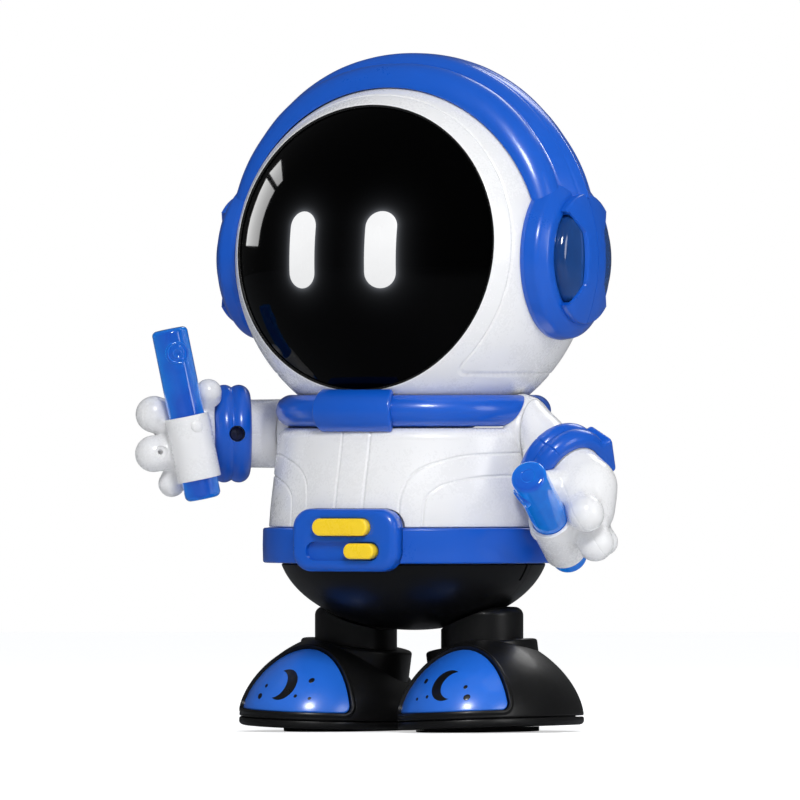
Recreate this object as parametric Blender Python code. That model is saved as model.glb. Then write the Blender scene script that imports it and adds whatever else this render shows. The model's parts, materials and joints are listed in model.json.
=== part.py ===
# Toy robot: a walking, swaying spaceman figure with a round visored head, a
# two-part body, swivelling shoulders that hold light sticks, and two big shoes
# on inclined ankle collars.
#
# Frame: +Z up, the robot faces -Y, +X is the robot's own left hand side, and
# the origin is on the floor under the middle of the body.
# Sizes are millimetres; MM turns them into Blender's metres.

import math

import bmesh
import bpy
from mathutils import Matrix, Vector

MM = 0.001
SIDES = ((1, "left"), (-1, "right"))    # sign along X, name

# ------------------------------------------------------------ driving sizes
BODY_Y = -2.3            # where the body's axis stands along Y
GAP = 0.3                # clearance between neighbouring pieces
WALL = 2.2               # thickness of the head, torso and bowl shells
BODY_SQUASH = 0.985      # depth over width of the belt, chassis plate and bowl

HEAD_Z = 141.5           # centre of the round head
HEAD_R = 53.5
VISOR_PITCH = math.radians(5.9)
VISOR_RIM_R = 42.9
VISOR_DOME_R = 59.35
VISOR_THICK = 1.8
VISOR_RECESS = 1.35      # the visor's edge lies this far behind the helmet's lip
EYE_X, EYE_Z = 13.1, 144.1
EYE_HALF_W, EYE_HALF_H = 4.75, 11.5
BAND_R = 61.9            # outside of the headband, from the head's centre
BAND_HALF = 17.3         # half the headband's width
BAND_END = math.radians(17)     # angle of the headband's ends above the ear axis
EAR_R = 24.3
CAP_R = 19.4

RING_Z = 96.1            # collar ring round the neck
RING_HALF_W, RING_HALF_D = 37.0, 34.6
RING_TUBE_R = 4.75
CLASP_R = 6.9            # outer radius of the clasp's section
CLASP_MID, CLASP_SPREAD = 91.2, 17.6    # degrees round the ring

BELT_Z0, BELT_Z1, BELT_R = 50.5, 61.0, 45.3
BELT_INNER_R = 40.6
BUCKLE_Z, BUCKLE_FACE = 57.5, 46.4      # centre height, distance forward
BUTTON_Z, SLOT_Z, SLIDER_X = 61.35, 54.2, 6.3
BUTTON = (9.3, 2.65, 2.6)               # half width, half height, corner radius
SLIDER = (5.1, 2.35, 2.3)
SLOT = (12.2, 2.7, 2.65)

BATTERY_Z = 74.0                        # centre height of the battery cover
BATTERY = (17.0, 10.5, 2.0)             # half width, half height, corner radius

BOWL_R, BOWL_DEPTH, BOWL_Z = 40.8, 25.5, 55.8
BOWL_TOP = BELT_Z0 - GAP

SHOULDER_Z = 89.2
SHOULDER_X = 41.2
ARM_R = 10.2
ARM_TURN = math.radians(31)             # the forearm's turn forward from sideways
ARM_OUT, ARM_FORWARD = math.cos(ARM_TURN), math.sin(ARM_TURN)
CUFF_OUT, CUFF_FORWARD = 54.4, 14.0     # cuff centre, from the shoulder axis
CUFF_HALF = 5.4                         # half the cuff's length
LEFT_ARM_DROP = math.radians(54)
PAD_TURN = math.radians(20)             # how far the cuff's pad is turned downwards
STICK_CENTRE = Vector((58.6, 35.0, 5.9))    # outward, forward, up
STICK_AXIS = Vector((0.163, 0.119, 0.979)).normalized()
STICK_HALF, STICK_R = 26.0, 5.4

LEG_X, LEG_FORWARD = 21.3, -3.6
COLLAR_Z, COLLAR_R, COLLAR_THICK = 23.9, 16.8, 3.8
COLLAR_BORE_R = 7.9
COLLAR_SKIRT = 8.2       # how far the collar's skirt reaches down into the shoe
COLLAR_SKIRT_R = 10.3    # inside of the skirt
COLLAR_TILT = math.radians(8)
FOOT_X, FOOT_FORWARD = 26.8, 1.3
FOOT_HALF_W, FOOT_HALF_L, FOOT_H = 25.2, 36.6, 25.3
FOOT_ROLL = math.radians(2.2)
FOOT_LIFT = 1.25
FOOT_WALL = 2.0
DOME_Z, DOME_POWER, DOME_STEPS = 2.8, 1.7, 6
DOME_CUT = 0.985         # the dome ends in a small flat at this part of its height
TOE_BACK, TOE_BOTTOM = 16.2, 5.05       # rear and bottom limits of the toe cap

GEAR_Z0, GEAR_Z1 = 44.5, 47.5
HIP_TEETH, DRIVE_TEETH = 20, 22
GEAR_MODULE = 2 * LEG_X / (HIP_TEETH + DRIVE_TEETH)

# base colour, roughness, metallic
PALETTE = {
    "white": ((0.80, 0.80, 0.81), 0.25, 0.0),
    "blue": ((0.019, 0.122, 0.604), 0.25, 0.0),
    "black": ((0.012, 0.012, 0.013), 0.42, 0.0),
    "visor": ((0.002, 0.002, 0.002), 0.05, 0.0),
    "lamp": ((0.95, 0.95, 0.95), 0.3, 0.0),
    "lens": ((0.010, 0.050, 0.230), 0.1, 0.0),
    "stick": ((0.012, 0.130, 0.640), 0.12, 0.0),
    "yellow": ((0.930, 0.620, 0.035), 0.3, 0.0),
    "board": ((0.010, 0.160, 0.060), 0.5, 0.0),
    "steel": ((0.55, 0.55, 0.56), 0.35, 1.0),
    "rubber": ((0.014, 0.014, 0.014), 0.8, 0.0),
    "nylon": ((0.72, 0.71, 0.66), 0.5, 0.0),
}


# ------------------------------------------------------------ points and frames
def body_point(x, forward, z):
    """A point measured from the foot of the body's axis."""
    return Vector((x * MM, (BODY_Y - forward) * MM, z * MM))


def offset(x, forward, z):
    """A direction, or a point measured from a joint."""
    return Vector((x * MM, -forward * MM, z * MM))


def upright(x=0, forward=0):
    """A frame standing on the floor, square to the world."""
    return Matrix.Translation(body_point(x, forward, 0))


def frame_at(origin, z_axis):
    """A frame whose Z runs along z_axis and whose Y stays as upright as it can."""
    z = Vector(z_axis).normalized()
    up = Vector((0, 0, 1)) if abs(z.z) < 0.9 else Vector((0, -1, 0))
    x = up.cross(z).normalized()
    y = z.cross(x)
    return Matrix.Translation(origin) @ Matrix((x, y, z)).transposed().to_4x4()


def side_frame(sign):
    """A frame whose Z points outward from the body on one side."""
    return Matrix(((0, 0, sign, 0), (-sign, 0, 0, 0), (0, -1, 0, 0), (0, 0, 0, 1)))


def facing_front(height):
    """Places (across, up from height, forward) on the body."""
    return lambda across, up, forward: body_point(across, forward, height + up)


# ------------------------------------------------------------ meshes
def mesh_from(verts, faces, sharp=40):
    """A closed mesh with outward faces; edges over sharp degrees stay hard, 0 is flat."""
    bm = bmesh.new()
    points = [bm.verts.new(v) for v in verts]
    for face in faces:
        bm.faces.new([points[i] for i in face])
    bmesh.ops.recalc_face_normals(bm, faces=bm.faces)
    mesh = bpy.data.meshes.new("mesh")
    bm.to_mesh(mesh)
    bm.free()
    if sharp:
        mesh.shade_smooth()
        mesh.set_sharp_from_angle(angle=math.radians(sharp))
    return mesh


def without_repeats(indices):
    return list(dict.fromkeys(indices))


def lathe(outline, seg=12, frame=None, squash=1.0, arc=None):
    """Turns a closed outline of (radius, height) points about the frame's Z."""
    frame = frame or Matrix.Identity(4)
    full = arc is None
    start, end = (0.0, 2 * math.pi) if full else arc
    steps = seg if full else seg + 1
    verts, rings = [], []
    for radius, height in outline:
        if abs(radius) < 1e-9:
            rings.append([len(verts)] * steps)
            verts.append(frame @ Vector((0, 0, height * MM)))
            continue
        rings.append(list(range(len(verts), len(verts) + steps)))
        for i in range(steps):
            angle = start + (end - start) * i / seg
            verts.append(frame @ Vector((radius * math.cos(angle) * MM,
                                         radius * squash * math.sin(angle) * MM,
                                         height * MM)))
    faces = []
    for k, low in enumerate(rings):
        high = rings[(k + 1) % len(rings)]
        if low[0] == low[1] and high[0] == high[1]:
            continue     # this edge of the outline lies on the axis
        for i in range(seg):
            j = (i + 1) % steps
            faces.append(without_repeats([low[i], low[j], high[j], high[i]]))
    if not full:
        for end_index in (0, -1):
            faces.append(without_repeats([ring[end_index] for ring in rings]))
    return mesh_from(verts, faces)


def cylinder(radius, low, high, seg=12, frame=None, squash=1.0):
    return lathe([(0, low), (radius, low), (radius, high), (0, high)], seg, frame, squash)


def loft(sections, sharp=40):
    """Joins rings of points, and closes both ends."""
    verts = [point for ring in sections for point in ring]
    faces = []
    n = len(sections[0])
    last = (len(sections) - 1) * n
    for base in range(0, last, n):
        for i in range(n):
            j = (i + 1) % n
            faces.append([base + i, base + j, base + n + j, base + n + i])
    faces.append(list(range(n)))
    faces.append([last + i for i in range(n)])
    return mesh_from(verts, faces, sharp)


def prism(outline, low, high, place, sharp=30):
    """An outline (u, v) pushed from low to high; place(u, v, w) gives the point."""
    return loft([[place(u, v, w) for u, v in outline] for w in (low, high)], sharp)


def block(x, forward, z):
    """A plain box, each axis given as (low, high)."""
    corners = [(x[0], forward[0]), (x[1], forward[0]), (x[1], forward[1]), (x[0], forward[1])]
    return prism(corners, z[0], z[1], body_point, 0)


def ball(centre, radius, place, seg, rings, stretch=(1, 1, 1)):
    """A sphere stretched along place's three axes."""
    x, forward, z = centre
    half_x, half_forward, half_z = (radius * factor for factor in stretch)
    verts = [place(x, forward, z - half_z)]
    for k in range(1, rings):
        latitude = -math.pi / 2 + math.pi * k / rings
        for i in range(seg):
            angle = 2 * math.pi * i / seg
            verts.append(place(x + half_x * math.cos(latitude) * math.cos(angle),
                               forward + half_forward * math.cos(latitude) * math.sin(angle),
                               z + half_z * math.sin(latitude)))
    top = len(verts)
    verts.append(place(x, forward, z + half_z))
    last_ring = 1 + (rings - 2) * seg
    faces = []
    for i in range(seg):
        j = (i + 1) % seg
        faces.append([0, 1 + j, 1 + i])
        for k in range(rings - 2):
            low = 1 + k * seg
            high = low + seg
            faces.append([low + i, low + j, high + j, high + i])
        faces.append([top, last_ring + i, last_ring + j])
    return mesh_from(verts, faces)


def bar(start, end, start_r, end_r=None, seg=12):
    """A round bar between two points in metres."""
    end_r = start_r if end_r is None else end_r
    turn = (end - start).normalized().to_track_quat("Z", "Y").to_matrix().to_4x4()
    length = (end - start).length / MM
    return lathe([(0, 0), (start_r, 0), (end_r, length), (0, length)],
                 seg, Matrix.Translation(start) @ turn)


def round_ended_bar(start, end, start_r, end_r):
    """A bar with a round far end, between two points in metres."""
    length = (end - start).length / MM
    outline = [(0, -0.3 * start_r), (0.95 * start_r, -0.3 * start_r), (start_r, 0.0)]
    for degrees in (0, 25, 50, 72):
        angle = math.radians(degrees)
        outline.append((end_r * math.cos(angle), length + end_r * math.sin(angle)))
    outline.append((0, length + end_r))
    return lathe(outline, 12, frame_at(start, end - start))


def capsule_outline(half_w, half_h, steps=8):
    """An upright pill: half_h runs to the very top of the round end."""
    out = []
    for sign, start in ((1, 0), (-1, math.pi)):
        for i in range(steps + 1):
            angle = start + math.pi * i / steps
            out.append((half_w * math.cos(angle),
                        sign * (half_h - half_w) + half_w * math.sin(angle)))
    return out


def round_box(half_w, half_h, radius, steps=4):
    out = []
    for corner_x, corner_y, start in ((1, 1, 0), (-1, 1, 90), (-1, -1, 180), (1, -1, 270)):
        for i in range(steps + 1):
            angle = math.radians(start + 90 * i / steps)
            out.append((corner_x * (half_w - radius) + radius * math.cos(angle),
                        corner_y * (half_h - radius) + radius * math.sin(angle)))
    return out


def grown(box, extra):
    """The sizes of a round_box made larger all round."""
    return [size + extra for size in box]


# ------------------------------------------------------------ objects
def material(name, colour):
    base, roughness, metallic = PALETTE[colour]
    mat = bpy.data.materials.new(name + "_" + colour)
    mat.use_nodes = True
    inputs = mat.node_tree.nodes.get("Principled BSDF").inputs
    inputs["Base Color"].default_value = (*base, 1.0)
    inputs["Roughness"].default_value = roughness
    inputs["Metallic"].default_value = metallic
    return mat


def link_object(name, mesh, at, parent):
    obj = bpy.data.objects.new(name, mesh)
    bpy.context.scene.collection.objects.link(obj)
    obj.location = at
    obj.parent = parent
    return obj


def piece(name, mesh, colour, parent=None, at=(0, 0, 0)):
    mesh.name = name
    mesh.materials.append(material(name, colour))
    return link_object(name, mesh, at, parent)


def hidden(name, mesh, parent=None):
    """A cutter or a shape to be joined: it isn't a piece of its own."""
    mesh.name = name
    obj = link_object(name, mesh, (0, 0, 0), parent)
    obj.hide_render = True
    obj.display_type = "WIRE"
    return obj


def pivot(name, at, turn=(0.0, 0.0, 0.0)):
    obj = link_object(name, None, at, None)
    obj.rotation_euler = turn
    obj.empty_display_size = 0.01
    return obj


def boolean(obj, other, how="DIFFERENCE", solver="EXACT"):
    mod = obj.modifiers.new(how.lower() + "_" + other.name, "BOOLEAN")
    mod.operation = how
    mod.object = other
    mod.solver = solver


# ============================================================ head
def in_head(x, forward, z):
    """A body point, measured from the head's centre."""
    return offset(x, forward, z - HEAD_Z)


def helmet_profile(hole_r=9.0, steps=11):
    """Hollow ball, open at the bottom through a hole of radius hole_r."""
    outline = []
    for radius, order in ((HEAD_R, range(steps + 1)), (HEAD_R - WALL, range(steps, -1, -1))):
        start = -math.acos(hole_r / radius)
        for i in order:
            angle = start + (math.pi / 2 - start) * i / steps
            outline.append((0 if i == steps else radius * math.cos(angle),
                            radius * math.sin(angle)))
    return outline


def visor_profile(steps=5):
    """A shallow domed disc, seen from the head's centre along the visor's axis."""
    rim_distance = math.sqrt(HEAD_R ** 2 - VISOR_RIM_R ** 2)
    dome_centre = rim_distance - VISOR_RECESS - math.sqrt(VISOR_DOME_R ** 2 - VISOR_RIM_R ** 2)
    outline = []
    for thick, order in ((0, range(steps + 1)), (VISOR_THICK, range(steps, -1, -1))):
        for i in order:
            r = (VISOR_RIM_R - 0.2) * (1 - i / steps)
            outline.append((r, dome_centre - thick + math.sqrt(VISOR_DOME_R ** 2 - r * r)))
    return outline


def head_height(radius):
    """Distance from the head's centre at which a coaxial ring just clears the head."""
    return math.sqrt((HEAD_R + GAP) ** 2 - radius * radius)


VISOR_FRAME = frame_at(Vector((0, 0, 0)),
                       Vector((0, -math.cos(VISOR_PITCH), math.sin(VISOR_PITCH))))

# distance from the ear axis' cross line, distance from the headband's middle plane
BAND_OUTLINE = [
    (head_height(0.15), 0.15), (head_height(9.0), 9.0), (head_height(BAND_HALF), BAND_HALF),
    (53.0, 16.9), (55.8, 15.4), (57.6, 13.0), (58.5, 9.6), (58.9, 8.2), (61.0, 3.6),
    (BAND_R, 0.15)]
# radius about the ear axis, distance outward from the head's centre
EAR_RING = [
    (16.9, 51.3), (20.0, head_height(20.0)), (24.0, head_height(24.0)),
    (EAR_R, 49.6), (23.9, 52.0), (22.5, 54.3), (20.4, 55.7), (18.2, 56.0), (16.9, 55.3)]
EAR_CAP = [
    (0, 62.15), (7.5, 61.65), (13.5, 60.25), (CAP_R, 58.1),
    (CAP_R, 56.4), (17.2, 56.4), (17.2, 58.3), (13.6, 59.5), (7.5, 60.65), (0, 61.05)]
EAR_LENS = [
    (0, 60.6), (8.0, 60.1), (13.6, 59.1), (16.0, 57.8), (16.4, 52.4), (8, 53.3), (0, 53.7)]
# forward, up: the opening in the front half of an ear cap
EAR_WINDOW = [
    (6.5, -7.7), (12.2, -14.0), (26.0, -14.6), (26.0, 14.6), (12.2, 14.0), (6.5, 7.7)]


def build_helmet(head, rear_half, front_half):
    mesh = lathe(helmet_profile(), 20)
    visor_hole = hidden("visor_hole",
                        cylinder(VISOR_RIM_R + 0.15, 12, 70, 24, VISOR_FRAME), head)
    front = piece("helmet_front_shell", mesh.copy(), "white", head)
    boolean(front, rear_half)
    boolean(front, visor_hole)
    rear = piece("helmet_rear_shell", mesh.copy(), "white", head)
    boolean(rear, front_half)


def eye_prism(sign, extra=0.0):
    outline = [(u + sign * EYE_X, v)
               for u, v in capsule_outline(EYE_HALF_W + extra, EYE_HALF_H + extra)]
    return prism(outline, 20, 70, lambda u, v, w: in_head(u, w, EYE_Z + v))


def build_face(head):
    """The visor with the two eyes set flush in it, and the parts behind."""
    visor = piece("visor", lathe(visor_profile(), 24, VISOR_FRAME), "visor", head)
    for sign, side in SIDES:
        boolean(visor, hidden("eye_hole_" + side, eye_prism(sign, GAP), head))
        eye = piece("eye_" + side, eye_prism(sign), "lamp", head)
        skin = hidden("eye_skin_" + side, lathe(visor_profile(), 24, VISOR_FRAME), head)
        boolean(eye, skin, "INTERSECT")
    piece("face_panel", cylinder(41.5, 20.5, 22, 18, VISOR_FRAME), "black", head)
    led_board = prism(round_box(24, 9, 2), 14, 15.6,
                      lambda u, v, w: VISOR_FRAME @ Vector((u * MM, v * MM, w * MM)))
    piece("head_led_board", led_board, "board", head)


def build_headband(head):
    """An arch over the head, split at the middle into a front and a rear moulding."""
    ear_clears = [hidden("ear_clear_" + side,
                         cylinder(EAR_R + GAP, 30, 75, 18, side_frame(sign)), head)
                  for sign, side in SIDES]
    for name, toward in (("headband_front", -1), ("headband_rear", 1)):
        # turned about the fore-and-aft axis through the head's centre
        frame = Matrix(((1, 0, 0, 0), (0, 0, toward, 0), (0, 1, 0, 0), (0, 0, 0, 1)))
        arch = lathe(BAND_OUTLINE, 18, frame, arc=(BAND_END, math.pi - BAND_END))
        band = piece(name, arch, "blue", head)
        for cutter in ear_clears:
            boolean(band, cutter)


def build_ear(head, sign, side):
    frame = side_frame(sign)
    piece("ear_ring_" + side, lathe(EAR_RING, 18, frame), "blue", head)
    cap = piece("ear_cap_" + side, lathe(EAR_CAP, 18, frame), "blue", head)
    for way, part in ((1, "front"), (-1, "rear")):
        window = prism([(way * u, v) for u, v in EAR_WINDOW], 50, 70,
                       lambda u, v, w: offset(sign * w, u, v))
        boolean(cap, hidden("ear_window_%s_%s" % (side, part), window, head))
    piece("ear_lens_" + side, lathe(EAR_LENS, 16, frame), "lens", head)


def build_head(rear_half, front_half):
    head = pivot("head_axis", body_point(0, 0, HEAD_Z))
    build_helmet(head, rear_half, front_half)
    build_face(head)
    build_headband(head)
    for sign, side in SIDES:
        build_ear(head, sign, side)


# ============================================================ neck
# radius, height
NECK_POST = [
    (4.0, 84.5), (23.0, 84.5), (23.0, 86.5), (7.0, 86.5), (7.0, 92.3),
    (12.0, 92.3), (12.0, 94.3), (4.0, 94.3)]
# radius about the shoulder axis, distance outward from the body's axis
FAIRING = [(0, 36.6), (12.0, 36.6), (11.6, 38.0), (10.8, 41.3), (10.6, 43.0), (0, 43.0)]
FAIRING_CLEAR = [(0, 33.6), (12.6, 33.6), (12.2, 38.0), (11.5, 41.3), (11.5, 47.0), (0, 47.0)]
SHOULDER_HOLE = [
    (0, 34.1), (8.3, 34.1), (8.3, 36.95), (5.5, 36.95), (5.5, SHOULDER_X - GAP),
    (12.4, SHOULDER_X - GAP), (12.4, 48), (0, 48)]


def shoulder_frame(sign):
    return Matrix.Translation(body_point(0, 0, SHOULDER_Z)) @ side_frame(sign)


def ring_centre(angle):
    return body_point(RING_HALF_W * math.cos(angle), RING_HALF_D * math.sin(angle), RING_Z)


def ring_mesh(tube_r, around, seg=24):
    """An oval ring lying flat at RING_Z."""
    up = Vector((0, 0, 1))
    verts = []
    for i in range(seg):
        angle = 2 * math.pi * i / seg
        tangent = offset(-RING_HALF_W * math.sin(angle),
                         RING_HALF_D * math.cos(angle), 0).normalized()
        sideways = tangent.cross(up)
        for k in range(around):
            turn = 2 * math.pi * k / around
            verts.append(ring_centre(angle)
                         + (sideways * math.cos(turn) + up * math.sin(turn)) * tube_r * MM)
    faces = []
    for i in range(seg):
        here = i * around
        there = (i + 1) % seg * around
        for k in range(around):
            m = (k + 1) % around
            faces.append([here + k, there + k, there + m, here + m])
    return mesh_from(verts, faces)


def clasp_section(angle):
    """A crescent round the outside of the collar ring's tube."""
    outward = offset(RING_HALF_D * math.cos(angle),
                     RING_HALF_W * math.sin(angle), 0).normalized()
    up = Vector((0, 0, 1))
    turns = [math.radians(degrees) for degrees in range(-90, 79, 28)]
    return [ring_centre(angle) + (outward * math.cos(turn) + up * math.sin(turn)) * radius * MM
            for radius, order in ((CLASP_R, turns), (RING_TUBE_R + 0.4, turns[::-1]))
            for turn in order]


def build_neck(head_clear):
    piece("neck_post", lathe(NECK_POST, 14), "nylon", at=body_point(0, 0, 0))

    ring = piece("collar_ring", ring_mesh(RING_TUBE_R, 10), "blue")
    boolean(ring, head_clear)
    for sign, side in SIDES:
        boolean(ring, hidden("fairing_clear_" + side,
                             lathe(FAIRING_CLEAR, 16, shoulder_frame(sign))))

    sections = [clasp_section(math.radians(CLASP_MID + CLASP_SPREAD * i / 4))
                for i in range(-4, 5)]
    clasp = piece("collar_clasp", loft(sections), "blue")
    boolean(clasp, head_clear)
    boolean(clasp, hidden("torso_clear", torso_loft(TORSO, 0.35, 0.35)))
    # a slightly thicker ring, kept for reference: nothing is cut with it
    hidden("ring_clear", ring_mesh(RING_TUBE_R + GAP, 12))


# ============================================================ torso
# height, half width, half depth
TORSO = [
    (BELT_Z1 + GAP, 43.35, 43.3), (67.0, 43.0, 42.6), (75.3, 42.3, 40.8), (83.0, 41.9, 38.8),
    (88.0, 41.3, 37.7), (90.0, 39.8, 36.4), (91.0, 37.6, 34.6)]
# the same stations before the wall is taken off
TORSO_INSIDE = [(60.0, 43.35, 43.3)] + TORSO[1:4] + [(87.2, 40.9, 37.4), (88.8, 38.6, 35.2)]


def torso_loft(stations, grow=0.0, lift=0.0, seg=30):
    sections = []
    for z, half_w, half_d in stations:
        ring = []
        for i in range(seg):
            angle = 2 * math.pi * i / seg
            ring.append(body_point((half_w + grow) * math.cos(angle),
                                   (half_d + grow) * math.sin(angle), z + lift))
        sections.append(ring)
    return loft(sections)


def build_torso(rear_half, front_half, head_clear):
    """The two shells with their shoulder fairings; returns the front one."""
    mesh = torso_loft(TORSO)
    inside = hidden("torso_inside", torso_loft(TORSO_INSIDE, -WALL))
    neck_hole = hidden("neck_hole", cylinder(20.0, 80, 100, 18, upright()))
    at_battery = facing_front(BATTERY_Z)
    battery_hole = hidden("battery_hole",
                          prism(round_box(*grown(BATTERY, GAP), 3), -60, -20, at_battery))
    shoulders = []
    for sign, side in SIDES:
        frame = shoulder_frame(sign)
        hole = hidden("shoulder_hole_" + side, lathe(SHOULDER_HOLE, 18, frame))
        fairing = hidden("fairing_" + side, lathe(FAIRING, 16, frame))
        shoulders.append((fairing, hole))

    shells = []
    for name, other_half, extra_cutters in (("torso_front_shell", rear_half, []),
                                            ("torso_rear_shell", front_half, [battery_hole])):
        shell = piece(name, mesh.copy(), "white")
        boolean(shell, inside, solver="MANIFOLD")
        for fairing, hole in shoulders:
            boolean(shell, fairing, "UNION", "MANIFOLD")
            boolean(shell, hole, solver="MANIFOLD")
        for cutter in [head_clear, neck_hole] + extra_cutters + [other_half]:
            boolean(shell, cutter, solver="MANIFOLD")
        shells.append(shell)

    cover = piece("battery_cover", mesh.copy(), "white")
    boolean(cover, inside)
    plan = hidden("battery_plan", prism(round_box(*BATTERY, 3), -60, -20, at_battery))
    boolean(cover, plan, "INTERSECT")
    return shells[0]


# half width, half height, corner radius, distance forward
BUCKLE = [
    (17.5, 9.4, 5.9, 40.4), (17.5, 9.4, 5.9, 44.6), (17.0, 8.9, 5.4, 45.7),
    (15.8, 7.9, 4.6, BUCKLE_FACE)]


def knob_mesh(box, proud):
    """A round-cornered peg standing proud of its origin, with a bevelled front."""
    return loft([[offset(u, forward, v) for u, v in round_box(*grown(box, extra), 5)]
                 for extra, forward in ((0, -8.0), (0, proud), (-0.5, proud + 0.6))])


def build_belt(torso_front):
    """The belt and its buckle, with a button above and a slider in a slot below."""
    edge = 0.7       # bevel of the belt's outer edges
    outline = [(BELT_INNER_R, BELT_Z0), (BELT_R - edge, BELT_Z0), (BELT_R, BELT_Z0 + edge),
               (BELT_R, BELT_Z1 - edge), (BELT_R - edge, BELT_Z1), (BELT_INNER_R, BELT_Z1)]
    belt = piece("belt", lathe(outline, 24, upright(), BODY_SQUASH), "blue")
    at_buckle = facing_front(BUCKLE_Z)
    buckle_room = hidden("buckle_room", prism(round_box(17.9, 9.8, 6.2), 40.0, 60, at_buckle))
    buckle = piece("belt_buckle",
                   loft([[at_buckle(u, v, forward) for u, v in round_box(*box)]
                         for *box, forward in BUCKLE]), "blue")
    button_hole = hidden("button_hole", prism(round_box(*grown(BUTTON, GAP), 5), 30, 60,
                                              facing_front(BUTTON_Z)))
    slot_hole = hidden("slot_hole", prism(round_box(*SLOT, 5), 30, 60, facing_front(SLOT_Z)))
    for cutter in (buckle_room, button_hole, slot_hole):
        boolean(belt, cutter)
    for cutter in (button_hole, slot_hole):
        boolean(buckle, cutter)
    for cutter in (buckle_room, button_hole):
        boolean(torso_front, cutter, solver="MANIFOLD")
    piece("mode_button", knob_mesh(BUTTON, 1.7), "yellow",
          at=body_point(0, BUCKLE_FACE, BUTTON_Z))
    piece("power_slider", knob_mesh(SLIDER, 1.6), "yellow",
          at=body_point(SLIDER_X, BUCKLE_FACE, SLOT_Z))


# ============================================================ inside the body
# radius, distance rearward from the speaker's front face
SPEAKER = [(0, 0), (10, 0), (10, 2), (7, 6), (0, 6)]
# radius, height
MOTOR = [(0, 53), (9.5, 53), (10, 53.5), (10, 70), (9, 71), (0, 71)]


def build_inside():
    piece("battery_box", block((-19, 19), (-31, -16), (63.0, 80.5)), "nylon")
    piece("main_board", block((-22, 22), (9.0, 10.6), (64, 83)), "board")
    piece("speaker", lathe(SPEAKER, frame=frame_at(body_point(0, 23.5, 73.0), (0, 1, 0))),
          "steel")
    piece("motor", lathe(MOTOR, frame=upright(0, LEG_FORWARD)), "steel")
    plate = piece("chassis_plate", cylinder(38.0, 50.8, 52.4, 18, upright(), BODY_SQUASH),
                  "nylon")
    for x, radius, tag in ((LEG_X, 4.3, "left"), (-LEG_X, 4.3, "right"), (0, 2.0, "motor")):
        hole = cylinder(radius, 48, 56, frame=upright(x, LEG_FORWARD))
        boolean(plate, hidden("plate_hole_" + tag, hole))


# ============================================================ hip bowl
def bowl_profile(grow, top, steps=7):
    """A curve from the bowl's lowest point up to its rim at height top."""
    radius, depth = BOWL_R + grow, BOWL_DEPTH + grow
    rim_angle = math.asin((BOWL_Z - top) / depth)
    outline = [(0, BOWL_Z - depth)]
    for i in range(1, steps + 1):
        angle = math.pi / 2 + (rim_angle - math.pi / 2) * i / steps
        outline.append((radius * math.cos(angle), BOWL_Z - depth * math.sin(angle)))
    return outline


def build_hip_bowl(rear_half, front_half):
    outline = bowl_profile(0, BOWL_TOP) + bowl_profile(-WALL, BOWL_TOP)[::-1]
    mesh = lathe(outline, 24, upright(), BODY_SQUASH)
    hip_holes = [hidden("hip_hole_" + side,
                        cylinder(4.4, 25, 47, frame=upright(sign * LEG_X, LEG_FORWARD)))
                 for sign, side in SIDES]
    for name, other_half in (("hip_bowl_front", rear_half), ("hip_bowl_rear", front_half)):
        shell = piece(name, mesh.copy(), "black")
        for cutter in [other_half] + hip_holes:
            boolean(shell, cutter)


# ============================================================ gears
def gear_mesh(teeth, turn=0.0):
    """A spur gear about its own origin, turned round by an angle."""
    pitch_r = teeth * GEAR_MODULE / 2
    root, tip = pitch_r - 1.25 * GEAR_MODULE, pitch_r + 0.8 * GEAR_MODULE
    outline = []
    for k in range(teeth):
        # part of a pitch from the tooth's middle, radius
        for part, radius in ((-0.27, root), (-0.115, tip), (0.115, tip), (0.27, root)):
            angle = 2 * math.pi * (k + part) / teeth + turn
            outline.append((radius * math.cos(angle), radius * math.sin(angle)))
    return prism(outline, GEAR_Z0, GEAR_Z1, offset, 0)


def build_drive_gear():
    drive = piece("drive_gear", gear_mesh(DRIVE_TEETH), "nylon",
                  at=body_point(0, LEG_FORWARD, 0))
    shaft = cylinder(1.6, 43, 52.6, frame=upright(0, LEG_FORWARD))
    boolean(drive, hidden("drive_shaft", shaft), "UNION")


# ============================================================ legs
# radius, height
ANKLE_POST = [(0, 16), (12.35, 16), (12.35, 30), (12.1, 35.8), (11.2, 37.0), (0, 37.0)]
# radius, height along the inclined ankle axis from the collar's centre
ANKLE_SPIGOT = [(0, -5.2), (9.5, -5.2), (9.5, -2.6), (7.5, -2.6), (7.5, 3.2), (0, 3.2)]
FOOT_COLLAR = [
    (COLLAR_BORE_R, -COLLAR_THICK / 2), (COLLAR_SKIRT_R, -COLLAR_THICK / 2),
    (COLLAR_SKIRT_R, -COLLAR_SKIRT), (COLLAR_R, -COLLAR_SKIRT),
    (COLLAR_R, COLLAR_THICK / 2 - 0.5), (COLLAR_R - 0.5, COLLAR_THICK / 2),
    (COLLAR_BORE_R, COLLAR_THICK / 2)]


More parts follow.
